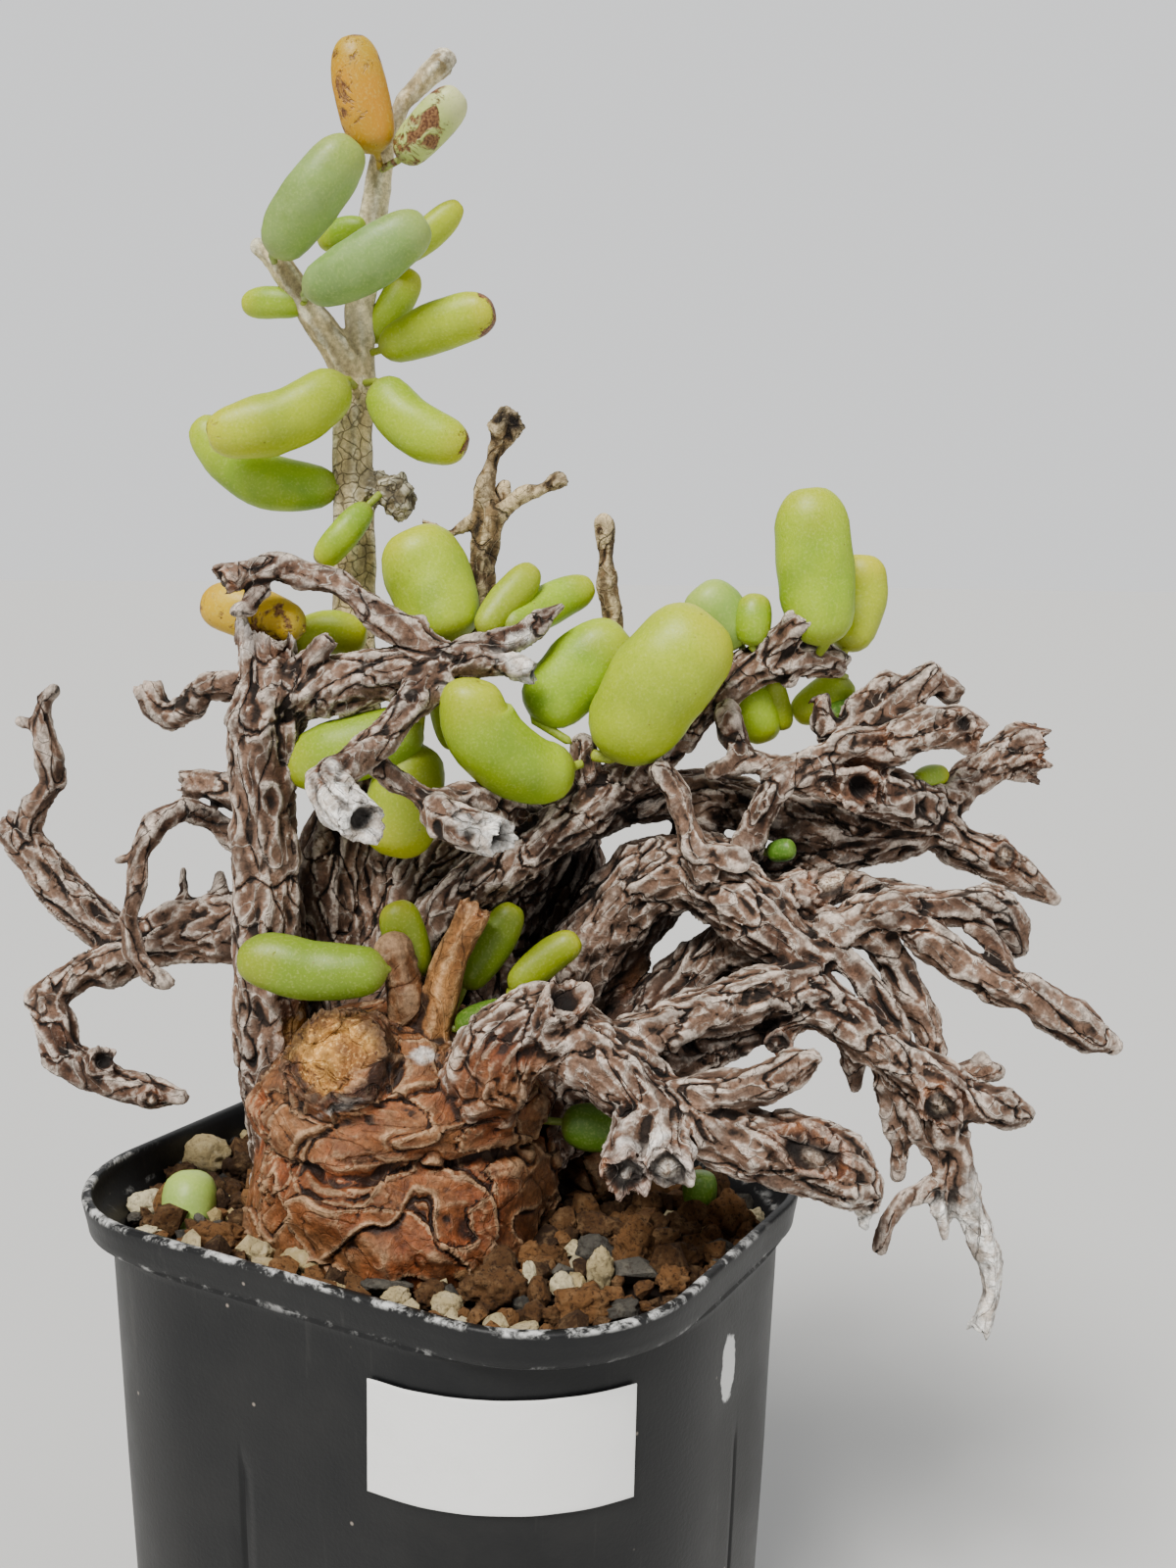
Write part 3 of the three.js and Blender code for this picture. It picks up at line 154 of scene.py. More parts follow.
# Stones that show: place in the pot, width, height, kind
STONES = [
    (-36.5, -2.0, 6.5, 5.0, "cream"), (-37.4, 6.9, 2.4, 2.2, "cream"), (-31.1, -2.0, 4.1, 3.9, "tan"),
    (-35.8, -7.5, 4.1, 2.8, "brown"), (-35.7, -12.1, 2.8, 2.0, "brown"), (-33.8, -16.4, 3.9, 3.2, "white"),
    (-33.0, -19.1, 1.7, 1.2, "grey"), (-28.6, -22.4, 4.0, 1.4, "white"), (-30.1, -19.6, 2.4, 1.4, "brown"),
    (-27.1, -8.2, 2.7, 2.2, "brown"), (-25.4, -12.6, 2.7, 2.9, "tan"), (-23.4, -11.1, 3.2, 2.1, "tan"),
    (-18.9, -15.1, 3.5, 3.1, "brown"), (-18.9, -19.4, 6.7, 3.2, "rust"), (-11.4, -20.4, 2.5, 3.2, "cream"),
    (-11.7, -16.4, 3.2, 2.1, "cream"), (-5.7, -20.1, 6.3, 3.8, "cream"), (1.0, -22.9, 2.0, 1.3, "cream"),
    (-13.5, -16.9, 1.7, 1.6, "rust"), (-8.3, -14.8, 1.7, 1.5, "tan"), (-0.7, -18.1, 4.0, 3.3, "grey"),
    (5.4, -19.4, 5.2, 1.6, "grey"), (10.6, -18.7, 3.2, 2.8, "brown"), (7.8, -21.7, 3.6, 2.1, "cream"),
    (13.8, -20.1, 3.2, 2.5, "cream"), (17.2, -22.4, 2.1, 1.2, "white"), (17.3, -15.9, 6.4, 4.7, "brown"),
    (20.3, -13.0, 1.5, 4.7, "white"), (22.9, -10.7, 2.6, 2.8, "white"), (27.0, -14.5, 6.1, 4.0, "rust"),
    (25.1, -17.0, 1.7, 2.1, "brown"), (23.7, -21.1, 3.7, 1.4, "cream"), (25.3, -6.4, 2.6, 5.1, "cream"),
    (31.0, -12.2, 4.6, 2.3, "grey"), (21.1, 0.2, 5.0, 3.2, "grey"), (18.5, 5.9, 5.9, 3.1, "brown"),
    (26.6, -0.5, 4.3, 6.3, "rust"), (26.7, 6.1, 4.6, 2.3, "brown"), (31.5, 2.9, 3.8, 2.9, "brown"),
    (33.2, -3.8, 3.5, 3.7, "rust"), (28.3, 10.9, 3.1, 1.9, "brown"), (31.6, 14.6, 5.2, 5.5, "rust"),
    (33.7, 7.3, 3.4, 2.3, "grey"), (33.4, 18.4, 2.2, 2.2, "white"), (20.5, 14.4, 3.9, 3.2, "brown"),
    (17.3, 15.4, 3.0, 2.5, "tan"), (14.8, -4.4, 3.7, 2.5, "rust"), (17.6, -3.4, 2.7, 2.7, "brown"),
    (26.1, 11.4, 2.9, 2.4, "brown"), (16.9, 12.2, 2.7, 2.2, "tan"),
]
STONE_KINDS = {
    "rust": ("crumb", 0.85), "brown": ("crumb", 0.35), "tan": ("crumb", 0.1),
    "cream": ("pumice", 0.3), "white": ("pumice", 0.9), "grey": ("basalt", 0.5),
}


def plain_colour(code):
    """Linear colour of a screen colour code such as 8c7a6e."""
    parts = [int(code[i:i + 2], 16) / 255 for i in (0, 2, 4)]
    return tuple(((p + 0.055) / 1.055) ** 2.4 if p > 0.04 else p / 12.92 for p in parts) + (1.0,)


def in_pot(point):
    """A point of the plant's frame in the pot's frame, both in millimetres."""
    moved = Matrix.Rotation(PLANT_TURN, 3, "Z") @ (point - PLANT_CENTRE)
    return moved + Vector((0, 0, POT_HEIGHT))


def seen(place):
    """A place as seen from the front, in metres in the pot's frame."""
    across, up, away = place
    reach = (away - EYE.y) / -EYE.y
    return in_pot(EYE + (Vector((across, 0, up)) - EYE) * reach) * MM


def on_sheet(points):
    """Across, up and away of points in metres: the reverse of seen."""
    spots = points / MM - np.array([0, 0, POT_HEIGHT])
    c, s = math.cos(-PLANT_TURN), math.sin(-PLANT_TURN)
    turned = spots @ np.array([[c, s, 0], [-s, c, 0], [0, 0, 1.0]]) + np.array(PLANT_CENTRE)
    reach = -EYE.y / (turned[:, 1] - EYE.y)
    eye = np.array(EYE)
    flat = eye + (turned - eye) * reach[:, None]
    return flat[:, 0], flat[:, 2], turned[:, 1]


def curve_point(points, t):
    """Point of a smooth curve through all the points, t from 0 to 1."""
    spans = len(points) - 1
    k = min(int(t * spans), spans - 1)
    u = t * spans - k
    b, c = points[k], points[k + 1]
    a = points[k - 1] if k > 0 else b + (b - c)
    d = points[k + 2] if k + 2 <= spans else c + (c - b)
    return 0.5 * ((2 * b) + (c - a) * u + (2 * a - 5 * b + 4 * c - d) * u * u
                  + (3 * b - a - 3 * c + d) * u ** 3)


def smoothstep(low, high, value):
    t = min(max((value - low) / (high - low), 0.0), 1.0)
    return t * t * (3 - 2 * t)


# Mesh helpers

def new_object(name, shape, smooth=True):
    """Turns a bmesh into an object at the origin."""
    data = bpy.data.meshes.new(name)
    shape.to_mesh(data)
    shape.free()
    for face in data.polygons:
        face.use_smooth = smooth
    piece = bpy.data.objects.new(name, data)
    bpy.context.scene.collection.objects.link(piece)
    return piece


def applied(piece):
    """Bakes the modifiers of a piece into its mesh."""
    graph = bpy.context.evaluated_depsgraph_get()
    made = bpy.data.meshes.new_from_object(piece.evaluated_get(graph))
    old = piece.data
    piece.modifiers.clear()
    piece.data = made
    made.name = piece.name
    bpy.data.meshes.remove(old)


def discard(piece):
    data = piece.data
    bpy.data.objects.remove(piece)
    bpy.data.meshes.remove(data)


def vectors(items, field):
    out = np.empty(len(items) * 3, np.float32)
    items.foreach_get(field, out)
    return out.reshape(-1, 3).astype(np.float64)


def write_points(data, points):
    data.vertices.foreach_set("co", points.astype(np.float32).ravel())
    data.update()


def write_attribute(data, name, values):
    layer = data.attributes.get(name) or data.attributes.new(name, "FLOAT", "POINT")
    layer.data.foreach_set("value", np.asarray(values, np.float32))


def stem_solids():
    """One bmesh of all the stems of the frame."""
    shape = bmesh.new()
    for node in STEMS:
        shape.from_mesh(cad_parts[node].data)
    return shape


def random_ray(rng):
    return Vector([rng.gauss(0, 1) for _ in range(3)]).normalized()


def dress(piece, material, slot, *nodes):
    """Material, body and the nodes that a finished piece stands for; the slot is not used."""
    piece.data.materials.clear()
    piece.data.materials.append(material)
    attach(piece, "root")
    if nodes:
        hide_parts(*nodes)


# Shader helpers

# The sockets of a mix of colours: share, first and second
COLOUR_MIX_SOCKETS = (0, 6, 7)
# What a group gives to a material, and how far light goes into a leaf's flesh
SURFACE = {"Colour": "Color", "Roughness": "Float", "Height": "Float"}
GLOW_RADIUS = (1.0, 1.0, 0.25)
GLOW_REACH = 1.2 * MM


class Nodes:
    """Short way to add and link shader nodes in a tree."""

    def __init__(self, tree):
        self.tree = tree

    def add(self, kind, settings=None, **inputs):
        node = self.tree.nodes.new(kind)
        for key, value in (settings or {}).items():
            setattr(node, key, value)
        for key, value in inputs.items():
            self.put(node.inputs[key.replace("_", " ")], value)
        return node

    def put(self, socket, value):
        """Links or sets a socket; a colour can be given by its code."""
        if isinstance(value, bpy.types.NodeSocket):
            self.tree.links.new(value, socket)
        else:
            socket.default_value = plain_colour(value) if isinstance(value, str) else value

    def mix(self, share, first, second, blend="MIX"):
        node = self.add("ShaderNodeMix", {"data_type": "RGBA", "blend_type": blend})
        for place, value in zip(COLOUR_MIX_SOCKETS, (share, first, second)):
            self.put(node.inputs[place], value)
        return node.outputs[2]

    def layers(self, colour, *coats):
        """A colour with others laid over it, each given with its share."""
        for share, coat in coats:
            colour = self.mix(share, colour, coat)
        return colour

    def math(self, operation, *values, clamp=False):
        node = self.add("ShaderNodeMath", {"operation": operation, "use_clamp": clamp})
        for socket, value in zip(node.inputs, values):
            self.put(socket, value)
        return node.outputs[0]

    def times(self, first, second, clamp=False):
        return self.math("MULTIPLY", first, second, clamp=clamp)

    def most(self, first, *others):
        for other in others:
            first = self.math("MAXIMUM", first, other)
        return first

    def total(self, *terms):
        """Sum of values, each given with its weight."""
        made = 0.0
        for value, weight in terms:
            made = self.math("MULTIPLY_ADD", value, weight, made)
        return made

    def stir(self, value, speckle, amount):
        """A value that a speckle moves up and down."""
        swing = self.times(self.math("SUBTRACT", speckle, 0.5), amount)
        return self.math("ADD", value, swing)

    def span(self, value, low, high, out_low=0.0, out_high=1.0):
        node = self.add("ShaderNodeMapRange", {"interpolation_type": "SMOOTHSTEP"})
        for socket, number in zip(node.inputs[:5], (value, low, high, out_low, out_high)):
            self.put(socket, number)
        return node.outputs[0]

    def attribute(self, name):
        return self.add("ShaderNodeAttribute", {"attribute_name": name}).outputs["Fac"]

    def place(self):
        return self.add("ShaderNodeTexCoord").outputs["Object"]

    def speckle(self, where, size_mm, detail=4.0, rough=0.6, warp=0.0):
        return self.add("ShaderNodeTexNoise", Vector=where, Scale=0.5 / (size_mm * MM), Detail=detail,
                        Roughness=rough, Distortion=warp).outputs["Fac"]


def shader_group(name, colours, numbers, outputs=None):
    """A new node group: its nodes, the sockets that it takes and those that it gives."""
    tree = bpy.data.node_groups.new(name, "ShaderNodeTree")
    for kind, sockets in (("Color", colours), ("Float", numbers)):
        for label, value in sockets.items():
            socket = tree.interface.new_socket(label, in_out="INPUT", socket_type="NodeSocket" + kind)
            socket.default_value = plain_colour(value) if kind == "Color" else value
    for label, kind in (outputs or SURFACE).items():
        tree.interface.new_socket(label, in_out="OUTPUT", socket_type="NodeSocket" + kind)
    take, give = tree.nodes.new("NodeGroupInput"), tree.nodes.new("NodeGroupOutput")
    return Nodes(tree), take.outputs, give.inputs


def finish_group(n, give, colour, roughness, height):
    for label, value in zip(SURFACE, (colour, roughness, height)):
        n.put(give[label], value)
    return n.tree


def new_material(name, group, bump, specular, values=None, attributes=(), glow=0.0):
    """Principled material whose colour, roughness and height come from a group."""
    material = bpy.data.materials.new(name)
    material.use_nodes = True
    n = Nodes(material.node_tree)
    use = n.add("ShaderNodeGroup", {"node_tree": group})
    for label, value in (values or {}).items():
        n.put(use.inputs[label], value)
    for label in attributes:
        n.put(use.inputs[label], n.attribute(label.lower()))
    lift = n.add("ShaderNodeBump", Height=use.outputs["Height"], Strength=1.0, Distance=bump * MM)
    looks = {"Base Color": use.outputs["Colour"], "Roughness": use.outputs["Roughness"],
             "Normal": lift.outputs[0], "Specular IOR Level": specular}
    if glow:
        looks.update({"Subsurface Weight": glow, "Subsurface Radius": GLOW_RADIUS,
                      "Subsurface Scale": GLOW_REACH})
    for label, value in looks.items():
        n.put(n.tree.nodes["Principled BSDF"].inputs[label], value)
    return material, n, use


# Bark surface

# Neighbours taken in at each vertex, and the share that a vertex keeps while a field is drawn out
NEIGHBOURS = 8
STEADY = 0.25


def neighbour_table(data, count):
    """For each vertex its neighbours, also those across a face, padded with itself."""
    faces = np.empty(len(data.loops), np.int32)
    data.loops.foreach_get("vertex_index", faces)
    quads = faces.reshape(-1, 4)
    pairs = np.concatenate([quads[:, [i, j]] for i in range(4) for j in range(4) if i != j])
    keys = np.unique(pairs[:, 0].astype(np.int64) * count + pairs[:, 1])
    source, target = keys // count, keys % count
    starts = np.searchsorted(source, np.arange(count))
    rank = np.arange(len(source)) - starts[source]
    keep = rank < NEIGHBOURS
    table = np.repeat(np.arange(count)[:, None], NEIGHBOURS, 1)
    valid = np.zeros((count, NEIGHBOURS))
    table[source[keep], rank[keep]] = target[keep]
    valid[source[keep], rank[keep]] = 1.0
    return table, valid


def spread(values, table, weights, rounds, keep=0.0):
    """Repeated weighted averages over the neighbours."""
    share = weights / np.maximum(weights.sum(1, keepdims=True), 1e-9) * (1 - keep)
    share = share.astype(np.float32).T.copy()
    columns = table.T.copy()
    values = values.astype(np.float32)
    if values.ndim > 1:
        share = share[:, :, None]
    mean, taken = np.empty_like(values), np.empty_like(values)
    for _ in range(rounds):
        mean[:] = keep * values if keep else 0
        for column, part in zip(columns, share):
            np.take(values, column, axis=0, out=taken, mode="clip")
            taken *= part
            mean += taken
        values, mean = mean, values
    return values.astype(float)


def level(values):
    values = values - values.mean()
    return values / max(values.std(), 1e-9)


def unit(values):
    return values / np.maximum(np.linalg.norm(values, axis=-1), 1e-9)[..., None]


# Hollows and scars that show: kind, across, up, half width, half height, tilt in degrees
MARKS = [
    ("eye", 41.6, 0.6, 4.6, 2.7, -24),
    ("hollow", 46.5, 47.7, 1.5, 1.6, 0),
    ("scar", -13, 10, 3.4, 2.5, 0),
    ("chalk", -7.6, 12, 1.5, 1.0, 30),
    ("chalk", -18.6, 6.2, 2.4, 0.8, 25),
    ("ochre", -19.6, 14.2, 5.8, 6.6, 0),
    ("warm", 1.5, 8.5, 7.5, 7.5, 0),
]

# Broken ends of the stems: the end, the point before it, the radius and the look
STUBS = [
    ((-26.8, 66, -5), (-26.8, 60, -5), 3.2, "open"), ((-41.3, 59, -1.5), (-40.4, 57.1, -1.9), 1.3, "open"),
    ((-37.5, 47.2, 1), (-34.6, 47.3, 1), 2, "open"), ((-60, 42.3, 7), (-57, 39.5, 5.9), 1.6, "core"),
    ((-48.3, 11.8, -9), (-49.3, 10.5, -6), 1.7, "open"),
    ((-42.4, 6.5, -10.5), (-42.6, 7.2, -8), 1.1, "core"),
    ((2.1, 40.8, -21), (-4.6, 42.8, -18), 2.3, "white"),
    ((-31.9, 72.4, -9), (-28.6, 73.3, -8), 1.8, "core"),
    ((-19, 65.7, -9), (-20.8, 63.4, -8), 1.3, "open"), ((6.1, 61.5, -11), (2.8, 62.5, -10), 1.3, "white"),
    ((-15, 42.7, -32), (-18, 44.9, -28), 2.1, "white"), ((17.9, -3, -33.5), (18.2, 0, -30), 2.6, "torn"),
    ((23.5, -2.4, -34.5), (23.5, 0, -31), 2.6, "core"), ((10.3, 21, -24), (8.5, 17, -22), 2.5, "open"),
    ((41.2, 35.3, -11), (35, 33, -12), 2.5, "core"), ((56, 33.5, -8), (50.4, 34, -8), 1.7, "core"),
    ((37.2, 14.8, -19.5), (37.2, 17, -16), 1.7, "torn"), ((58, 6.6, -23), (57.6, 8.6, -20), 2.3, "core"),
    ((64, -23.7, -19), (64.7, -22, -19), 1.3, "white"), ((64.7, 39.3, -2.2), (64, 39.5, 0.1), 1.8, "core"),
    ((68, 52, 3.5), (65.6, 52.3, 3), 3.9, "core"), ((46.5, 47.7, -9.8), (46, 47.9, -6.4), 2.7, "open"),
    ((48.4, 53.3, -7.8), (45.5, 53.3, -8.5), 1.7, "core"),
    ((60.5, 53.8, -6.2), (57.8, 55.2, -6.8), 1.9, "core"),
    ((58.6, 55.6, -9.2), (58.6, 55, -6.6), 1.5, "open"),
    ((41.2, 59.2, -4.4), (41.8, 55.5, -4.3), 1.5, "core"),
    ((17.5, 28.5, 3), (17, 26, 3), 3, "torn"), ((-0.9, 32.3, -11), (-2.8, 28.3, -12), 1.9, "torn"),
]
BLEACHED = [((-15, 42.7, -32), 9.0), ((2.1, 40.8, -21), 6.0), ((6.1, 61.5, -11), 5.0),
            ((-26.8, 66, -5), 4.0), ((64, -23.7, -19), 6.5), ((48.6, -9, -29), 4.0),
            ((64.6, -16.5, -20), 6.0), ((62.5, -9, -20), 5.5),
            ((22, -1.6, -33.5), 4.6), ((56, 33.5, -8), 3.0)]
CHARRED = [((-4.5, 132.5, 12.3), 2.6), ((-10.5, 83.6, 7.3), 5.0), ((2.5, 92, 4), 3.4),
           ((8.9, 84.8, 2), 2.0)]
MASKS = ("dark", "rim", "ochre", "bleach", "core", "warm")
# How rusty the rim of each kind of broken end is
RUSTY = {"open": 0.25, "white": 0.0, "core": 0.5, "torn": 0.7}


def bump(values, width):
    return np.exp(-(values / width) ** 2)


def add_mask(masks, name, values):
    masks[name] = np.maximum(masks[name], values)


def fade(values, low, high):
    """From 0 at low to 1 at high."""
    return np.clip((values - low) / (high - low), 0, 1)


def mark_surface(points, normals, crumbs, masks):
    """Shift along the normal that hollows and scars give; adds to the masks."""
    across, up, away = on_sheet(points)
    facing = normals @ np.array(seen((0, 0, -60)) - seen((0, 0, 0))) > 0
    lift = np.zeros(len(points))
    for kind, x, y, half_x, half_y, tilt in MARKS:
        c, s = math.cos(math.radians(tilt)), math.sin(math.radians(tilt))
        dx = ((across - x) * c + (up - y) * s) / half_x
        dy = (-(across - x) * s + (up - y) * c) / half_y
        r = np.sqrt(dx * dx + dy * dy) * (1 + (0.3 if kind == "chalk" else 0.09) * crumbs)
        near = (r < 1.9) & facing
        if not near.any():
            continue
        front = np.percentile(away[near & (r < 1)], 20) if (near & (r < 1)).any() else away[near].min()
        near &= np.abs(away - front) < 2.5 * max(half_x, half_y)
        r = np.where(near, r, 9.0)
        bowl = np.clip(1 - r * r, 0, 1)
        edge = bump(r - 1.1, 0.2)
        if kind == "hollow":
            lift += -0.75 * min(half_x, half_y) * bowl ** 0.8 + 0.35 * edge
            add_mask(masks, "dark", np.clip(bowl * 1.6, 0, 1))
            add_mask(masks, "rim", edge)
        if kind == "eye":
            core = bump(np.sqrt((dx - 0.1) ** 2 + (dy + 0.15) ** 2), 0.42) * near
            lift += -2.4 * bowl ** 0.7 + 1.9 * core + 0.5 * edge * (1 + 0.5 * crumbs)
            add_mask(masks, "dark", np.clip(bowl * 2.0 - core * 1.7, 0, 1))
            add_mask(masks, "rim", np.clip(0.7 * edge + 0.2 * core, 0, 1))
            add_mask(masks, "core", 0.7 * core)
        if kind == "scar":
            lift += -0.35 * bowl + 0.22 * edge
            add_mask(masks, "dark", 0.62 * np.clip(bowl * 1.5, 0, 1))
        if kind == "chalk":
            add_mask(masks, "bleach", 0.6 * fade(r, 1.1, 0.6))
        if kind == "warm":
            add_mask(masks, "warm", fade(r, 1.5, 0.6))
        if kind == "ochre":
            add_mask(masks, "ochre", fade(r, 1.05, 0.8))
            lift += 0.24 * crumbs * fade(r, 1.1, 0.8) + 0.3 * bump(r - 1.15, 0.14)
            add_mask(masks, "rim", 0.5 * bump(r - 1.12, 0.1))
            add_mask(masks, "dark", 0.6 * bump(dx - 0.35, 0.4) * bump(dy - 0.8, 0.3) * near)
            add_mask(masks, "dark", 0.5 * bump(r - 1.2, 0.1))
    return lift * MM


def mark_stubs(points, normals, crumbs, masks):
    """Shift of the ragged, hollowed ends of broken stems; adds to the masks."""
    shift = np.zeros_like(points)
    for end, before, radius, look in STUBS:
        tip = np.array(seen(end))
        aim = tip - np.array(seen(before))
        aim /= np.linalg.norm(aim)
        radius *= MM
        steps = points - tip
        along = steps @ aim
        out = np.linalg.norm(steps - along[:, None] * aim, axis=1) / radius
        near = (np.abs(along) < 2.2 * radius) & (out < 1.7)
        faces = near & (normals @ aim > 0.15)
        rim = bump(out - 1.0, 0.28) * bump(along / radius + 0.1, 0.7) * near
        bowl = np.clip(1 - (out / 0.85) ** 2, 0, 1) * faces
        core = bump(out, 0.42) * faces
        shift += aim * (radius * (0.24 if look == "torn" else 0.28) * crumbs * rim)[:, None]
        pushed = 0.35 * core if look in ("core", "torn") else -0.35 * bowl
        shift += aim * (radius * pushed)[:, None]
        hole = bowl if look in ("open", "white") else 0.75 * bump(out - 0.62, 0.2) * faces
        add_mask(masks, "dark", np.clip(hole * 1.3, 0, 0.92))
        add_mask(masks, "rim", RUSTY[look] * rim)
        add_mask(masks, "core", core * (look == "core"))
    for end, reach in BLEACHED:
        gap = np.linalg.norm(points - np.array(seen(end)), axis=1) / MM
        add_mask(masks, "bleach", fade(gap - 1.2 * crumbs, reach, reach - 3.0))
    for end, reach in CHARRED:
        gap = np.linalg.norm(points - np.array(seen(end)), axis=1) / MM
        share = fade(gap, reach, reach - 1.2)
        shift += normals * (0.085 * reach * MM * crumbs * share)[:, None]
        add_mask(masks, "core", 0.5 * np.clip(crumbs - 0.3, 0, 1) * share)
        add_mask(masks, "dark", np.clip(0.62 - 0.4 * crumbs, 0.2, 0.85) * share)
    return shift


# Rays that tell how hidden a place is, for the painted shade of the bark: kinds, those cast from a vertex,
# vertices between casts, reach
RAY_KINDS = 64
RAYS_CAST = 8
RAY_EVERY = 10
RAY_START = 4e-4
RAY_REACH = 0.026


def shade_cover_share(tree, points, normals, table, valid, seed):
    """How much of what lies over each vertex is blocked by other parts of the plant, for the bark's painted
    shade.
    """
    count = len(points)
    rng = random.Random(seed)
    rays = [random_ray(rng) * 0.95 for _ in range(RAY_KINDS)]
    blocked, known = np.zeros(count), np.zeros(count)
    for i in range(0, count, RAY_EVERY):
        normal = Vector(normals[i])
        start = Vector(points[i]) + normal * RAY_START
        cast = (normal + rays[(i + k * 7) % RAY_KINDS] for k in range(RAYS_CAST))
        hits = sum(tree.ray_cast(start, ray, RAY_REACH)[0] is not None for ray in cast)
        blocked[i] = hits / RAYS_CAST
        known[i] = 1
    return spread(blocked, table, valid, 14) / np.maximum(spread(known, table, valid, 14), 1e-6)


# Random fields of the bark: rounds of blur, then rounds of drawing out along the stem or across it
DRAWN = {"wrinkle": (0, 9), "crest": (2, 14), "facet": (7, 24), "crease": (4, 30), "fold": (14, 50),
         "crack": (16, 34), "knot": (16, 40), "plate": (50, 70), "seam": (50, 90)}
DRAWN_ACROSS = ("crack", "knot", "plate")
BLURRED = {"crumb": 2, "lump": 10, "swell": 40, "panel": 90, "tone": 90}
FIELD_LIMIT = 1.6


def relief_fields(rng, count, table, valid, lengthways, crossways):
    """Random fields of the bark, each with mean 0 and spread 1."""
    fields = {}
    for name, (before, rounds) in DRAWN.items():
        start = spread(rng.standard_normal(count), table, valid, before)
        weights = crossways if name in DRAWN_ACROSS else lengthways
        fields[name] = level(spread(start, table, weights, rounds, STEADY))
    for name, rounds in BLURRED.items():
        fields[name] = level(spread(rng.standard_normal(count), table, valid, rounds))
    return fields


def peel(field, height, edge):
    """Height of a layer of bark that ends in a raised, torn edge."""
    return height * (np.clip(field / edge, 0, 1) + 0.9 * bump(field - 1.4 * edge, 0.9 * edge)
                     - 0.8 * bump(field + 0.6 * edge, 0.7 * edge))


def relief(fields, thick, tips, kinds):
    """Height of the bark in millimetres, by kind."""
    clip = {name: np.clip(field, -FIELD_LIMIT, FIELD_LIMIT) for name, field in fields.items()}
    facets = np.minimum(np.abs(fields["facet"]), FIELD_LIMIT) - 0.7
    depth = np.clip(thick / 6.0, 0.36, 1.0)
    thin = np.clip((7.5 - thick) / 4.5, 0, 1)
    patchy = np.clip(fields["swell"] * 1.5, 0, 1)
    height = (
        0.13 * bump(fields["crest"], 0.28) - 0.22 * bump(fields["crease"], 0.17)
        - 0.36 * bump(fields["fold"], 0.13) - 0.24 * bump(fields["crack"], 0.05) * patchy
        - 0.34 * facets + 0.10 * clip["lump"]
        + 0.045 * clip["crumb"] + 0.07 * clip["wrinkle"] + 0.12 * clip["swell"]
    ) * depth + 0.22 * clip["knot"] * thin * np.clip(thick / 3.0, 0.4, 1)
    height += 0.42 * tips * clip["lump"] + 0.15 * tips * clip["crumb"]
    seams = bump(fields["seam"] + 0.4, 0.05) * np.clip(0.5 + fields["panel"], 0, 1)
    others = {
        "red": (0.28 * clip["panel"] - 0.42 * seams + 0.08 * clip["lump"] + 0.03 * clip["crumb"]
                + peel(fields["plate"] - 0.15, 0.34, 0.08) + peel(fields["seam"] - 0.2, 0.30, 0.07)
                + peel(-fields["seam"] - 0.9, 0.24, 0.08)
                - 0.14 * bump(fields["fold"], 0.08) + 0.05 * bump(fields["crest"], 0.2)
                - 0.12 * facets),
        "pale": 0.05 * clip["lump"] + 0.02 * clip["crumb"] + 0.05 * clip["knot"],
        "dry": (0.10 * clip["lump"] + 0.13 * clip["knot"] + 0.05 * clip["crumb"]
                - 0.12 * bump(fields["crease"], 0.2)),
        "young": 0.06 * clip["lump"] + 0.15 * clip["knot"] - 0.07 * bump(fields["crease"], 0.2),
    }
    for kind, other in others.items():
        height = height * (1 - kinds[kind]) + other * kinds[kind]
    return height


SHOWN_FIELDS = ("tone", "crest", "crease", "fold", "crack", "facet", "plate", "seam")
# Distances for making the surface of the bark, in metres
FLAT_REACH = 8e-5
CLOSE_REACH = 4.5e-4
THICK_START = 1e-4
THICK_REACH = 0.014
# Rounds of averages for the stem's direction, its thickness and the smooth face of the stump
TURN_ROUNDS = 60
AXIS_ROUNDS = 80
AROUND_ROUNDS = 60
STUMP_ROUNDS = 90
# Height of the caudex's waist fold over the rim, in millimetres
WAIST = 6.9


def nearest_stems(points):
    """For each point the number of its nearest stem, the nearest place on it and the normal there."""
    faces, corners, owners = [], [], []
    for number, node in enumerate(STEMS):
        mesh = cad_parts[node].data
        base = len(corners)
        corners.extend(v.co.copy() for v in mesh.vertices)
        faces.extend([base + i for i in face.vertices] for face in mesh.polygons)
        owners.extend([number] * len(mesh.polygons))
    tree = BVHTree.FromPolygons(corners, faces)
    nearest = [tree.find_nearest(p) for p in points.tolist()]
    owner = np.array([owners[found[2]] for found in nearest])
    foot, outward = (np.array([tuple(found[k]) for found in nearest]) for k in (0, 1))
    return owner, foot, outward


def smooth_cells(points, foot, outward, table, valid, settings):
    """Takes off the steps of the cells: each vertex at one distance from its stem, then rounded."""
    gap = points - foot
    reach = np.linalg.norm(gap, axis=1)
    away = unit(gap)
    flipped = (reach < FLAT_REACH) | ((gap * outward).sum(1) < 0)
    away[flipped] = outward[flipped]
    close = reach < CLOSE_REACH
    points[close] = (foot + away * settings.swell)[close]
    for _ in range(settings.rounding):
        points = spread(points, table, valid, 1, 0.45)
        points = points + 0.52 * (points - spread(points, table, valid, 1))
    return points


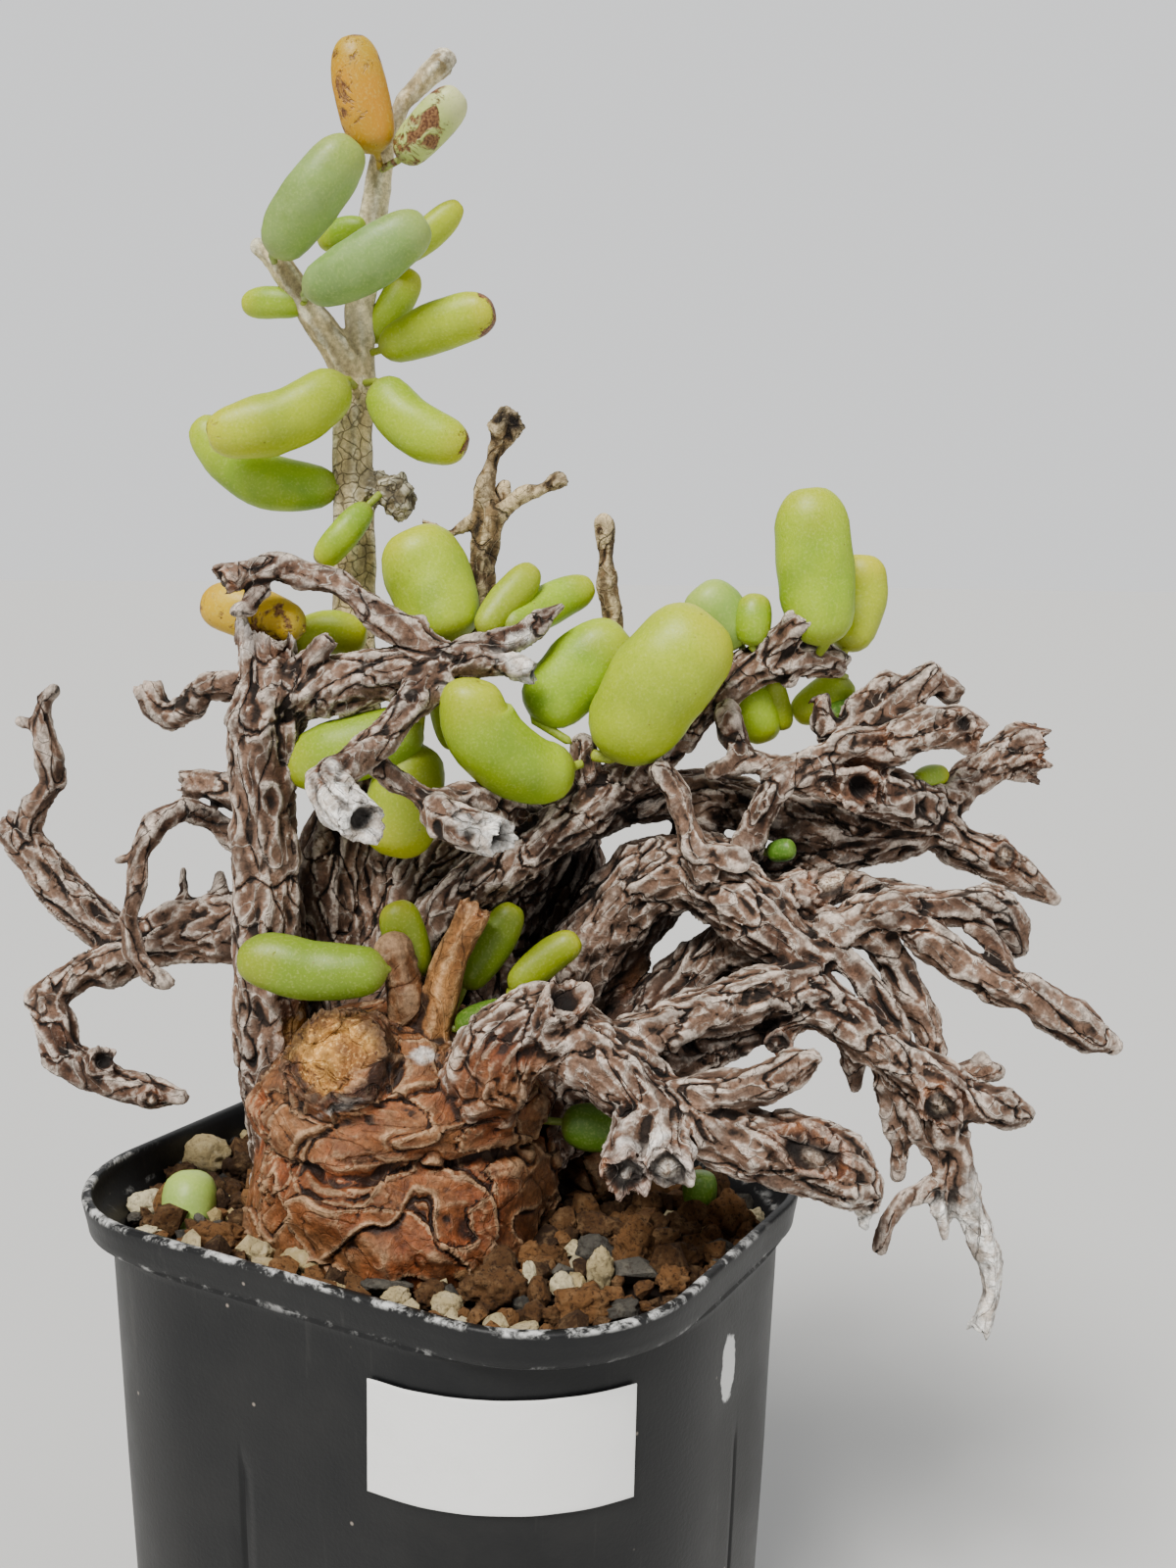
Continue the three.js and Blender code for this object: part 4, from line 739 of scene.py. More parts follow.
def stem_axes(normals, table, valid):
    """Direction of the stem at each vertex: the one in which the surface turns least."""
    def directions(arrows, weight, rounds):
        products = np.stack([arrows[:, i] * arrows[:, j] for i, j in
                             ((0, 0), (0, 1), (0, 2), (1, 1), (1, 2), (2, 2))], 1)
        products = spread(products * weight, table, valid, rounds)
        return np.linalg.eigh(products[:, [0, 1, 2, 1, 3, 4, 2, 4, 5]].reshape(-1, 3, 3))

    turn, axes = directions(normals, 1.0, TURN_ROUNDS)
    sure = (turn[:, 1] - turn[:, 0])[:, None]
    axis = directions(axes[:, :, 0], sure, AXIS_ROUNDS)[1][:, :, 2]
    return unit(axis - normals * (axis * normals).sum(1)[:, None])


def stem_thickness(tree, points, normals):
    """Thickness of the stem under each vertex in millimetres, no more than the rays reach."""
    thick = np.full(len(points), THICK_REACH / MM)
    for i, (place, normal) in enumerate(zip(points.tolist(), normals.tolist())):
        normal = Vector(normal)
        hit = tree.ray_cast(Vector(place) - normal * THICK_START, -normal, THICK_REACH)
        if hit[0] is not None:
            thick[i] = hit[3] / MM
    return thick


def make_skin(settings):
    """One closed surface over all the stems, with the relief and the masks of the bark."""
    shape = stem_solids()
    bmesh.ops.remove_doubles(shape, verts=shape.verts[:], dist=1e-6)
    shape.normal_update()
    for vertex in shape.verts:
        vertex.co += vertex.normal * settings.swell
    skin = new_object("bark_skin", shape)
    cells = skin.modifiers.new("cells", "REMESH")
    cells.mode = "VOXEL"
    cells.voxel_size = settings.cell
    applied(skin)
    data = skin.data
    count = len(data.vertices)
    table, valid = neighbour_table(data, count)
    points = vectors(data.vertices, "co")
    owner, foot, outward = nearest_stems(points)
    points = smooth_cells(points, foot, outward, table, valid, settings)
    write_points(data, points)
    normals = vectors(data.vertex_normals, "vector")
    owner = spread(np.eye(len(STEMS))[owner], table, valid, 4, 0.2).argmax(1)
    axis = stem_axes(normals, table, valid)
    lean = np.abs(np.einsum("nkd,nd->nk", unit(points[table] - points[:, None, :]), axis))
    lengthways = valid * (lean ** 7 + 0.004)
    crossways = valid * ((1 - lean * lean) ** 3 + 0.01)

    # The relief is as deep as the stem's thickness allows
    inner = BVHTree.FromObject(skin, bpy.context.evaluated_depsgraph_get())
    thick = stem_thickness(inner, points, normals)
    around = spread(thick, table, valid, AROUND_ROUNDS)
    tips = np.clip(thick / np.maximum(around, 1) - 1.25, 0, 1) * (around < 7)
    tips = spread(tips, table, valid, 4)
    thick = spread(thick, table, valid, 10)
    rng = np.random.default_rng(settings.seed)
    fields = relief_fields(rng, count, table, valid, lengthways, crossways)
    kind = np.array(list(STEMS.values()))[owner]
    kinds = {name: spread((kind == name).astype(float), table, valid, 14) for name in BARK_KINDS}
    masks = {name: np.zeros(count) for name in MASKS}
    crumbs = np.clip(level(fields["lump"] + 0.8 * fields["crumb"]), -1.8, 1.8)
    across, up, _ = on_sheet(points)
    stump = kinds["red"] * np.clip(2.4 - np.hypot((across + 19.6) / 5.8, (up - 14.2) / 6.6) * 1.25, 0, 1)
    flat = spread(points, table, valid, STUMP_ROUNDS)
    points = points + (flat - points) * (0.9 * stump)[:, None]
    # How covered each vertex is: the bark's shader paints shade from it
    hidden = shade_cover_share(inner, points, normals, table, valid, settings.seed)
    lift = mark_surface(points, normals, crumbs, masks)
    shift = mark_stubs(points, normals, crumbs, masks)
    quiet = 1 - np.clip(masks["dark"] + masks["ochre"] * 0.7, 0, 1)
    height = relief(fields, thick, tips, kinds) * settings.relief
    over_rim = (points[:, 2] / MM - POT_HEIGHT) + 0.9 * np.clip(fields["panel"], -1, 1)
    waist = kinds["red"] * bump(over_rim - WAIST, 0.45)
    points = points + normals * ((height * quiet - 0.9 * waist) * MM + lift)[:, None] + shift
    write_points(data, points)

    # How far each vertex lies under or over its surroundings; low places get painted shade on the bark
    wide = spread(points, table, valid, 9)
    narrow = spread(points, table, valid, 2)
    normals = vectors(data.vertex_normals, "vector")
    over = ((points - wide) * normals).sum(1) / MM
    over -= spread(over, table, valid, 60)
    # Pale bark keeps less of the painted shade in low and covered places
    softened = 1 - 0.8 * kinds["pale"]
    over *= np.where(over < 0, softened, 1)
    add_mask(kinds, "red", 0.62 * masks.pop("warm"))
    looks = {"over": over, "sharp": ((points - narrow) * normals).sum(1) / MM,
             "hidden": hidden * softened, "fine": np.clip(fields["wrinkle"], -2, 2)}
    looks.update({name: fields[name] for name in SHOWN_FIELDS})
    for name, values in {**looks, **masks, **kinds}.items():
        write_attribute(data, name, values)
    return skin, owner, table, normals


# How deep the hem of a stem's surface dips under its neighbours, ring by ring, in millimetres
HEM = (0.0, 0.02, 0.3, 0.8)
HEM_RINGS = len(HEM) - 1
FAR_RING = 9


def cut_piece(whole, name, ring, normals):
    """The faces of one stem, with a hidden hem that dips under its neighbours."""
    shape = whole.copy()
    spare = [v for v, far in zip(shape.verts, (ring > HEM_RINGS).tolist()) if far]
    bmesh.ops.delete(shape, geom=spare, context="VERTS")
    edges = [e for e in shape.edges if e.is_boundary]
    filled = bmesh.ops.holes_fill(shape, edges=edges, sides=0)["faces"]
    bmesh.ops.triangulate(shape, faces=filled)
    piece = new_object(name, shape)
    index = np.flatnonzero(ring <= HEM_RINGS)
    drops = np.array(HEM)[ring[index]] * MM
    write_points(piece.data, vectors(piece.data.vertices, "co") - normals[index] * drops[:, None])
    piece.data.normals_split_custom_set_from_vertices(normals[index].tolist())
    return piece


def build_bark(settings):
    skin, owner, table, normals = make_skin(settings)
    materials = make_barks(settings)
    rings = []
    for number in range(len(STEMS)):
        ring = np.where(owner == number, 0, FAR_RING)
        for step in range(1, HEM_RINGS + 1):
            touch = (ring[table] < step).any(1) & (ring == FAR_RING)
            ring[touch] = step
        rings.append(ring)
    whole = bmesh.new()
    whole.from_mesh(skin.data)
    left = np.arange(len(owner))
    order = np.argsort(-np.bincount(owner, minlength=len(STEMS))).tolist()
    while order:
        number = order.pop(0)
        node, kind = list(STEMS.items())[number]
        piece = cut_piece(whole, "bark_" + node, rings[number][left], normals[left])
        dress(piece, materials[kind], kind + "_bark", node)
        nearest = [rings[k][left] for k in order] or [np.full(len(left), FAR_RING)]
        needed = np.min(nearest, axis=0) <= HEM_RINGS
        spare = [v for v, used in zip(whole.verts, needed.tolist()) if not used]
        bmesh.ops.delete(whole, geom=spare, context="VERTS")
        left = left[needed]
    whole.free()
    discard(skin)


# What the bark's shader takes from the surface and from the palette
BARK_MASKS = ("Over", "Sharp", "Tone", "Crest", "Crease", "Fold", "Crack", "Facet", "Plate", "Seam",
              "Hidden", "Fine", "Dark", "Rim", "Ochre", "Bleach", "Core")
PALETTE_COLOURS = ("Deep", "Mid", "Light", "Tint")
PALETTE_NUMBERS = ("Cracks", "Gloss", "Patchy", "Lines", "White")
BARK_LOOKS = {
    "grey": ("120b07", "765a48", "dccdbf", "523626", 0.22, 0.0, 0.16, 1.0, 0.36),
    "red": ("1c0e07", "7e5230", "b08e6c", "80421f", 0.15, 0.8, 0.30, 0.28, 0.40),
    "pale": ("3a2c1e", "d6c79c", "f0e8ca", "bfa97a", 0.80, 0.2, 0.2, 0.1, 0.6),
    "dry": ("1c130c", "806845", "cdb890", "5a4128", 0.35, 0.0, 0.2, 0.8, 0.5),
    "young": ("2c180a", "ac7844", "d8b080", "7d4c26", 0.25, 0.3, 0.2, 0.45, 0.45),
}

# Levels of the fields at which the papery layers of red bark get a painted shadow and a painted highlight
# on the raised rim
LAYER_SHADOWS = (("Plate", 0.10), ("Seam", 0.16), ("Seam", -0.86))
LAYER_HIGHLIGHTS = (("Plate", 0.24), ("Seam", 0.27), ("Seam", -0.98))
EDGE_WIDTH = 0.07


def bark_group():
    """Colour, roughness and height of bark from the masks on the surface."""
    n, take, give = shader_group("bark_finish", dict.fromkeys(PALETTE_COLOURS, "6b5a4c"),
                                 dict.fromkeys(BARK_MASKS + PALETTE_NUMBERS, 0.0))
    place = n.place()
    blotch = n.speckle(place, 2.6, 5.0, 0.65)
    grit = n.speckle(place, 0.30, 6.0, 0.7)
    scale = n.speckle(place, 0.9, 4.0, 0.65, 0.6)
    bend = n.add("ShaderNodeTexNoise", Vector=place, Scale=0.5 / (1.1 * MM)).outputs["Color"]
    bend = n.add("ShaderNodeVectorMath", {"operation": "SCALE"}, Vector=bend, Scale=1.5 * MM)
    moved = n.add("ShaderNodeVectorMath", {"operation": "ADD"})
    n.put(moved.inputs[0], place)
    n.put(moved.inputs[1], bend.outputs[0])
    cells = n.add("ShaderNodeTexVoronoi", {"feature": "DISTANCE_TO_EDGE"}, Vector=moved.outputs[0],
                  Scale=1 / (1.7 * MM))
    crack = n.times(n.span(cells.outputs["Distance"], 0.075, 0.0), take["Cracks"])
    papery = n.span(take["Gloss"], 0.35, 0.75)

    def line(name, width, where, low, high):
        """A line where a field passes through zero, broken up by a speckle."""
        gap = n.math("ABSOLUTE", n.stir(take[name], grit, 0.5 * width))
        return n.times(n.span(gap, width, 0.15 * width), n.span(where, low, high))

    def edge(name, level, weight):
        """The edge of a papery layer, along one level of its field."""
        gap = n.math("ABSOLUTE", n.math("SUBTRACT", n.stir(take[name], grit, 0.06), level))
        drawn = n.times(n.span(gap, EDGE_WIDTH, 0.2 * EDGE_WIDTH), n.times(papery, weight))
        return n.times(drawn, n.span(blotch, 0.40, 0.56, 0.25, 1.0))

    # Painted shade along creases, folds and cracks and under the edges of papery layers; painted highlights
    # along crests, facets and the raised rims of the layers
    painted_shade_lines = n.times(n.most(
        line("Crease", 0.15, scale, 0.40, 0.58), line("Fold", 0.10, blotch, 0.3, 0.5),
        line("Crack", 0.055, blotch, 0.54, 0.64)), take["Lines"])
    painted_highlight_lines = n.times(n.most(
        line("Crest", 0.15, scale, 0.42, 0.58), line("Facet", 0.11, blotch, 0.4, 0.5)), take["Lines"])
    painted_shade_lines = n.most(painted_shade_lines, *(edge(*spot, 0.9) for spot in LAYER_SHADOWS))
    painted_highlight_lines = n.most(painted_highlight_lines, *(edge(*spot, 0.7) for spot in LAYER_HIGHLIGHTS))

    # Painted light and shade: raised bark is pale, partly weathered and partly a painted highlight; low
    # bark gets painted shade, and what lies under other parts gets painted shade and keeps less white
    shown = n.span(take["Hidden"], 0.80, 0.42)
    # Pale raised bark, partly weathered and partly a painted highlight, kept lower under the painted shade
    # of cover
    pale = n.times(n.span(n.stir(take["Over"], scale, take["Patchy"]), -0.12, 0.42),
                   n.math("MULTIPLY_ADD", shown, 0.8, 0.2))
    # Painted highlight on sharp crests
    crest = n.span(n.stir(take["Sharp"], grit, 0.06), 0.02, 0.12)
    # Painted shade in low places
    low = n.span(n.stir(take["Over"], scale, 0.12), -0.06, -0.24)
    ochre = n.layers("c58f45", (n.span(blotch, 0.38, 0.6), "8a5a2c"), (n.span(grit, 0.5, 0.75), "dcb878"),
                     (n.span(scale, 0.42, 0.32), "5a3214"))
    # Bleached wood, with painted shade in its low places and darker cracks
    bleach = n.layers("cdc0b2", (n.span(scale, 0.35, 0.6), "fffcf6"),
                      (n.times(n.most(low, crack), 0.7), "3a2c22"))
    rust = n.layers("5c2c14", (n.span(scale, 0.4, 0.6), "a8663a"), (n.span(grit, 0.52, 0.7), "d8bca0"))
    wood = n.mix(n.span(grit, 0.4, 0.6), "8a6a4c", "dccdb8")
    colour = n.layers(
        take["Mid"],
        (n.span(n.stir(take["Tone"], blotch, 5.0), -0.9, 2.0), take["Tint"]),
        # Pale raised bark and painted highlights on crests
        (n.times(pale, take["White"], clamp=True), take["Light"]),
        (n.times(crest, n.times(take["White"], 1.7)), take["Light"]),
        # Painted shade in low places
        (n.times(low, 0.92), take["Deep"]),
        (n.times(n.times(painted_highlight_lines, shown), 0.6), take["Light"]),
        (n.times(crack, 0.8), take["Deep"]),
        (n.times(painted_shade_lines, 0.88), take["Deep"]),
        (take["Ochre"], ochre),
        (take["Bleach"], bleach),
        (n.times(take["Rim"], 0.85), rust),
        (n.times(take["Core"], 0.8), wood),
        (n.times(take["Dark"], 0.93), "140b08"),
    )
    fibre = n.span(n.stir(take["Fine"], grit, 2.0), -1.6, 1.6, 0.68, 1.24)
    # Grit, darker under the painted shade of cover
    grain = n.times(n.span(grit, 0.3, 0.7, 0.66, 1.22), n.span(shown, 0.0, 1.0, 0.42, 1.0))
    colour = n.mix(1.0, colour, n.times(grain, fibre), "MULTIPLY")
    roughness = n.math("SUBTRACT", n.span(pale, 0.0, 1.0, 0.80, 0.94), n.times(take["Gloss"], 0.32))
    height = n.total((grit, 0.42), (scale, 0.5), (crack, -0.4), (painted_shade_lines, -0.8), (painted_highlight_lines, 0.5))
    return finish_group(n, give, colour, roughness, height)


def palette_group():
    """Colours and looks of bark, blended where one kind passes into another."""
    n, take, give = shader_group(
        "bark_palette", {}, dict.fromkeys(BARK_KINDS, 0.0),
        {**dict.fromkeys(PALETTE_COLOURS, "Color"), **dict.fromkeys(PALETTE_NUMBERS, "Float")})
    shares = [n.span(take[kind], 0.25, 0.75) for kind in BARK_KINDS]
    above = n.add("ShaderNodeSeparateXYZ", Vector=n.place()).outputs[2]
    rows = zip(PALETTE_COLOURS + PALETTE_NUMBERS, *(BARK_LOOKS[kind] for kind in ("grey", *BARK_KINDS)))
    for name, value, *others in rows:
        for share, other in zip(shares, others):
            if name in PALETTE_COLOURS:
                value = n.mix(share, value, other)
            else:
                value = n.math("MULTIPLY_ADD", n.math("SUBTRACT", other, value), share, value)
        if name == "Cracks":
            value = n.times(value, n.span(above, 0.166, 0.176, 1.0, 0.12))
        n.put(give[name], value)
    return n.tree


def make_barks(settings):
    finish, palette = bark_group(), palette_group()
    made = {}
    for kind in sorted(set(STEMS.values())):
        made[kind], n, use = new_material(kind + "_bark", finish, 0.42, 0.3, attributes=BARK_MASKS)
        looks = n.add("ShaderNodeGroup", {"node_tree": palette})
        for name in BARK_KINDS:
            n.put(looks.inputs[name], n.attribute(name))
        for name in PALETTE_COLOURS + PALETTE_NUMBERS:
            value = looks.outputs[name]
            n.put(use.inputs[name], n.times(value, settings.whiteness) if name == "White" else value)
    return made


# Leaves

# Leaves with painted shade where they sit under the limbs, and those with worn tips
LEAVES_IN_PAINTED_SHADE = {"low_1": 0.75, "low_2": 0.6, "low_3": 0.8, "low_4": 0.45, "low_5": 0.6, "low_6": 0.3,
       "middle_7": 0.3, "middle_8": 0.35, "middle_3": 0.3, "right_8": 0.4, "right_6": 0.3}
SCARS = {"crown_8": 0.9, "crown_5": 0.45, "crown_6": 0.4, "crown_10": 0.6, "crown_12": 0.5, "crown_13": 0.5,
         "middle_2": 0.35, "low_1": 0.3}
# Thickness as a share of the width; the leaves that hang on no stem are thicker
LEAF_THICKNESS = 0.72
LOOSE_LEAVES = {"low_7": 1, "low_8": 0.95}
LEAF_ACROSS = 28
LEAF_ALONG = 34
NECK_RINGS = 6
NECK_REACH = 7 * MM
DENT_START = 0.9

# Half width at shares of the length
FULLNESS = [(0, 0.12), (0.02, 0.35), (0.05, 0.55), (0.1, 0.74), (0.2, 0.88), (0.33, 0.96), (0.5, 1),
            (0.64, 1), (0.78, 0.93), (0.87, 0.82), (0.94, 0.62), (0.98, 0.38), (1, 0)]
LEAF_MARKS = ("Along", "Warm", "Painted_leaf_shade", "Scarred")
LEAF_LOOKS = ("Skin", "Shade", "Blush", "Scab", "Bloom")
LEAF_TINTS = {
    "lime": ("98b80c", "70990e", "cec408", 0.0, 0.0),
    "blue": ("749a3c", "5a7e2c", "b6bc2a", 0.0, 0.34),
    "orange": ("d08404", "c48c04", "b29800", 0.5, 0.0),
    "amber": ("d6b400", "cca400", "c08c00", 0.4, 0.0),
    "cream": ("b0c444", "98b434", "ece2b8", 0.6, 0.1),
    "pale": ("8cb43c", "74a030", "bccc50", 0.0, 0.12),
    "deep": ("4a781c", "3a6416", "6b8a26", 0.0, 0.0),
    "fallen": ("88ac44", "6c9236", "b4cc50", 0.0, 0.3),
}


def leaf_fullness(share):
    """Half width of a leaf at a share of its length, from its base to its rounded tip."""
    for (low, first), (high, second) in zip(FULLNESS, FULLNESS[1:]):
        if share <= high:
            return first + (second - first) * (share - low) / (high - low)
    return 0.0


def leaf_root(base, stems):
    """Where a leaf's neck starts: just inside the stem nearest to its base."""
    near, _, _, distance = stems.find_nearest(base)
    if near is None or distance > NECK_REACH:
        return None
    return near + (near - base).normalized() * 0.5 * MM


def make_leaf(name, width, thick, route, stems, rng):
    """A plump leaf: a sphere drawn along the leaf's route, with a thin neck at its base."""
    points = [seen(place) for place in route]
    eye = in_pot(EYE) * MM
    root = leaf_root(points[0], stems) if stems else None
    first = 0 if root is None else NECK_RINGS
    shape = bmesh.new()
    bmesh.ops.create_uvsphere(shape, u_segments=LEAF_ACROSS, v_segments=LEAF_ALONG, radius=1)
    along = []
    drift = Vector([rng.random() * 40 for _ in range(3)])
    half = 0.5 * width * MM
    for vertex in shape.verts:
        angle = math.acos(max(-1.0, min(1.0, -vertex.co.z)))
        ring = round(angle / math.pi * LEAF_ALONG)
        if ring <= NECK_RINGS and root is not None:
            t = ring / NECK_RINGS
            centre = root.lerp(points[0], t)
            ahead = root.lerp(points[0], t + 0.1)
            radius = max(half * 0.12, 0.45 * MM) if ring else 0.0
            share = 0.0
        else:
            share = 0.5 - 0.5 * math.cos(math.pi * (ring - first) / (LEAF_ALONG - first))
            centre = curve_point(points, share)
            ahead = curve_point(points, min(share + 0.02, 1.0))
            if share >= 0.98:
                ahead = centre + (centre - curve_point(points, share - 0.02))
            radius = half * leaf_fullness(share) if share else 0.0
        direction = (ahead - centre).normalized()
        face = eye - centre
        face = (face - direction * face.dot(direction)).normalized()
        side = direction.cross(face)
        flat = Vector((vertex.co.x, vertex.co.y))
        turn = math.atan2(flat.y, flat.x) if flat.length > 1e-6 else 0.0
        spot = centre + (side * math.cos(turn) + face * math.sin(turn) * (thick + 0.06)) * radius
        swell = noise.noise(spot / (3.5 * MM) + drift) * 0.07 * min(radius / half, 1.0)
        spot += (spot - centre) * swell
        if share > DENT_START:
            pit = (share - DENT_START) / (1 - DENT_START)
            spot -= direction * 0.10 * half * pit * pit * (1 - min(radius / (0.3 * half), 1.0))
        vertex.co = spot
        along.append(share)
    bmesh.ops.recalc_face_normals(shape, faces=shape.faces[:])
    piece = new_object("plump_leaf_" + name, shape)
    write_attribute(piece.data, "along", along)
    marks = {"warm": rng.random(), "painted_leaf_shade": LEAVES_IN_PAINTED_SHADE.get(name, 0.0), "scarred": SCARS.get(name, 0.0)}
    for label, value in marks.items():
        write_attribute(piece.data, label, [value] * len(along))
    return piece


def leaf_group():
    """Skin of a fleshy leaf: soft mottling, pale pores, small brown specks and scabs."""
    n, take, give = shader_group("leaf_skin", dict.fromkeys(("Skin", "Shade", "Blush"), "a9bf3e"),
                                 dict.fromkeys(("Scab", "Bloom") + LEAF_MARKS, 0.0))
    place = n.place()
    cloud = n.speckle(place, 4.0, 3.0, 0.5)
    pores = n.speckle(place, 0.16, 2.0, 0.5)
    blot = n.speckle(place, 1.5, 5.0, 0.6, 0.5)
    tip = n.span(n.stir(take["Along"], cloud, 0.6), 0.6, 1.05)
    cells = n.add("ShaderNodeTexVoronoi", Vector=place, Scale=1 / (1.7 * MM)).outputs
    dots = n.span(cells["Distance"], n.math("MULTIPLY_ADD", tip, 0.10, 0.09), 0.03)
    pick = n.add("ShaderNodeSeparateColor", Color=cells["Color"]).outputs[0]
    some = n.math("GREATER_THAN", pick, n.math("MULTIPLY_ADD", tip, -0.3, 0.74))
    worn = n.most(take["Scab"], n.times(take["Scarred"], tip))
    scab = n.times(n.span(n.math("MULTIPLY_ADD", worn, 0.35, blot), 0.72, 0.80),
                   n.math("GREATER_THAN", worn, 0.02))
    colour = n.layers(
        take["Skin"],
        (n.span(cloud, 0.35, 0.7), take["Shade"]),
        (n.total((take["Warm"], 0.45), (tip, 0.4)), take["Blush"]),
        # Painted shade on leaves under the limbs
        (n.times(take["Painted_leaf_shade"], n.span(cloud, 0.3, 0.7, 1.0, 0.6)), "4a6a16"),
        (n.times(n.span(take["Along"], 0.14, 0.0), 0.5), "8a8a3a"),
        (n.span(pores, 0.48, 0.75, 0.0, 0.16), "dfe48a"),
        (n.span(pores, 0.45, 0.25, 0.0, 0.35), take["Shade"]),
        (n.times(take["Bloom"], n.span(blot, 0.3, 0.7, 0.35, 1.0)), "a6bc80"),
        (n.times(n.times(dots, some), 0.7), "6e5a22"),
        (scab, n.mix(n.span(pores, 0.4, 0.6), "5a3418", "8a6238")),
    )
    return finish_group(n, give, colour, n.span(pores, 0.3, 0.7, 0.40, 0.52),
                        n.total((pores, 0.25), (cloud, 0.6), (scab, -1.2)))


def build_leaves(settings):
    shape = stem_solids()
    stems = BVHTree.FromBMesh(shape)
    shape.free()
    skin = leaf_group()
    materials = {
        tint: new_material("leaf_" + tint, skin, 0.10, 0.45, dict(zip(LEAF_LOOKS, looks)), LEAF_MARKS,
                           settings.glow)[0]
        for tint, looks in LEAF_TINTS.items()
    }
    rng = random.Random(settings.seed)
    for group, leaves in LEAVES.items():
        for number, (tint, width, route) in enumerate(leaves, 1):
            name = f"{group}_{number}"
            thick = LOOSE_LEAVES.get(name, LEAF_THICKNESS)
            piece = make_leaf(name, width, thick, route, None if name in LOOSE_LEAVES else stems, rng)
            dress(piece, materials[tint], "leaf_" + tint, "leaf_" + name)


# Pot, label and soil

CORNER_STEPS = 22
SIDE_STEPS = 12
# Steps round a moulded line, and the distance that stands for no line near
GROOVE_SHIFTS = (-0.5, -0.3, -0.1, 0.1, 0.3, 0.5)
NO_GROOVE = 9
HOLE_RADIUS = 4


def wall_inset(z):
    return BAND_STEP + WALL_TAPER * (POT_HEIGHT - BAND_HEIGHT - z)


def outline_point(stop, inset, corner, z):
    """Point of the rounded outline, at an inset from the rim's outside."""
    kind, quarter, share = stop
    half_x, half_y = RIM_HALF_X - inset, RIM_HALF_Y - inset
    signs = ((1, 1), (-1, 1), (-1, -1), (1, -1))
    ends = []
    for q, t in ((quarter, share if kind == "corner" else 1.0), ((quarter + 1) % 4, 0.0)):
        angle = math.pi / 2 * (q + t)
        ends.append(Vector((signs[q][0] * (half_x - corner) + corner * math.cos(angle),
                            signs[q][1] * (half_y - corner) + corner * math.sin(angle), z)))
    if kind == "corner":
        return ends[0]
    return ends[0].lerp(ends[1], share)


def groove_depth(point):
    """How deep the moulded line is at a place on the wall."""
    shown = 1 - smoothstep(GROOVE_TOP - 4, GROOVE_TOP + 1.5, point.z)
    front = abs(point.x - GROOVE_FRONT_X) if abs(point.y) > abs(point.x) * 0.7 else NO_GROOVE
    side = abs(point.y - GROOVE_SIDE_Y) if abs(point.x) > RIM_HALF_X - 6 else NO_GROOVE
    return GROOVE_DEPTH * shown * (1 - smoothstep(0.1, 0.45, min(front, side)))


def ring_stops():
    """Places round the pot, each a share of a corner or of a side, closer at the moulded lines."""
    stops = []
    for quarter in range(4):
        stops += [("corner", quarter, k / CORNER_STEPS) for k in range(CORNER_STEPS + 1)]
        shares = [k / SIDE_STEPS for k in range(1, SIDE_STEPS)]
        along_x = quarter in (0, 2)
        middle = GROOVE_FRONT_X if along_x else GROOVE_SIDE_Y
        reach = (RIM_HALF_X if along_x else RIM_HALF_Y) - WALL_CORNER - 1.5
        for shift in GROOVE_SHIFTS:
            where = middle + shift
            share = (reach - where) / (2 * reach) if quarter in (0, 1) else (where + reach) / (2 * reach)
            if 0.02 < share < 0.98:
                shares.append(share)
        stops += [("side", quarter, share) for share in sorted(shares)]
    return stops


def pot_rings():
    """Rings of the pot from its foot over the rim to the floor inside, and how many are outer wall.

    Each ring has its inset, its height and the radius of its corners.
    """
    band = POT_HEIGHT - BAND_HEIGHT
    wall = [(wall_inset(0) + 0.9, 0.0, WALL_CORNER - 0.9), (wall_inset(0) + 0.25, 0.15, WALL_CORNER - 0.2)]
    wall += [(wall_inset(z), z, WALL_CORNER) for z in
             (0.8, 4, 10, 16, 22, 28, 34, 40, 44, 47, 49, 50.5, 52, 53.5, 56, 59, 62, 65, 68, band - 1.2)]
    rest = [(wall_inset(band), band - 0.55, WALL_CORNER), (wall_inset(band) - 0.1, band - 0.35, 24.0),
            (BAND_FLARE + 0.15, band - 0.12, RIM_CORNER + 0.5), (BAND_FLARE, band + 0.12, RIM_CORNER),
            (0.38, band + 1.2, RIM_CORNER), (0.2, band + 2.4, RIM_CORNER),
            (0.02, POT_HEIGHT - 0.55, RIM_CORNER), (0.08, POT_HEIGHT - 0.25, RIM_CORNER),
            (0.3, POT_HEIGHT - 0.05, RIM_CORNER), (0.65, POT_HEIGHT, RIM_CORNER),
            (1.05, POT_HEIGHT - 0.08, RIM_CORNER - 1), (WALL - 0.05, POT_HEIGHT - 0.35, RIM_CORNER - WALL),
            (WALL + 0.05, POT_HEIGHT - 1.2, RIM_CORNER - WALL),
            (BAND_FLARE + WALL, band + 0.6, RIM_CORNER - WALL),
            (wall_inset(band) + WALL, band - 1, WALL_CORNER - WALL)]
    rest += [(wall_inset(z) + WALL, z, WALL_CORNER - WALL) for z in (60, 40, 20, FLOOR + 0.8)]
    rest += [(wall_inset(FLOOR) + WALL + 0.6, FLOOR, WALL_CORNER - WALL - 0.6)]
    return wall + rest, len(wall)


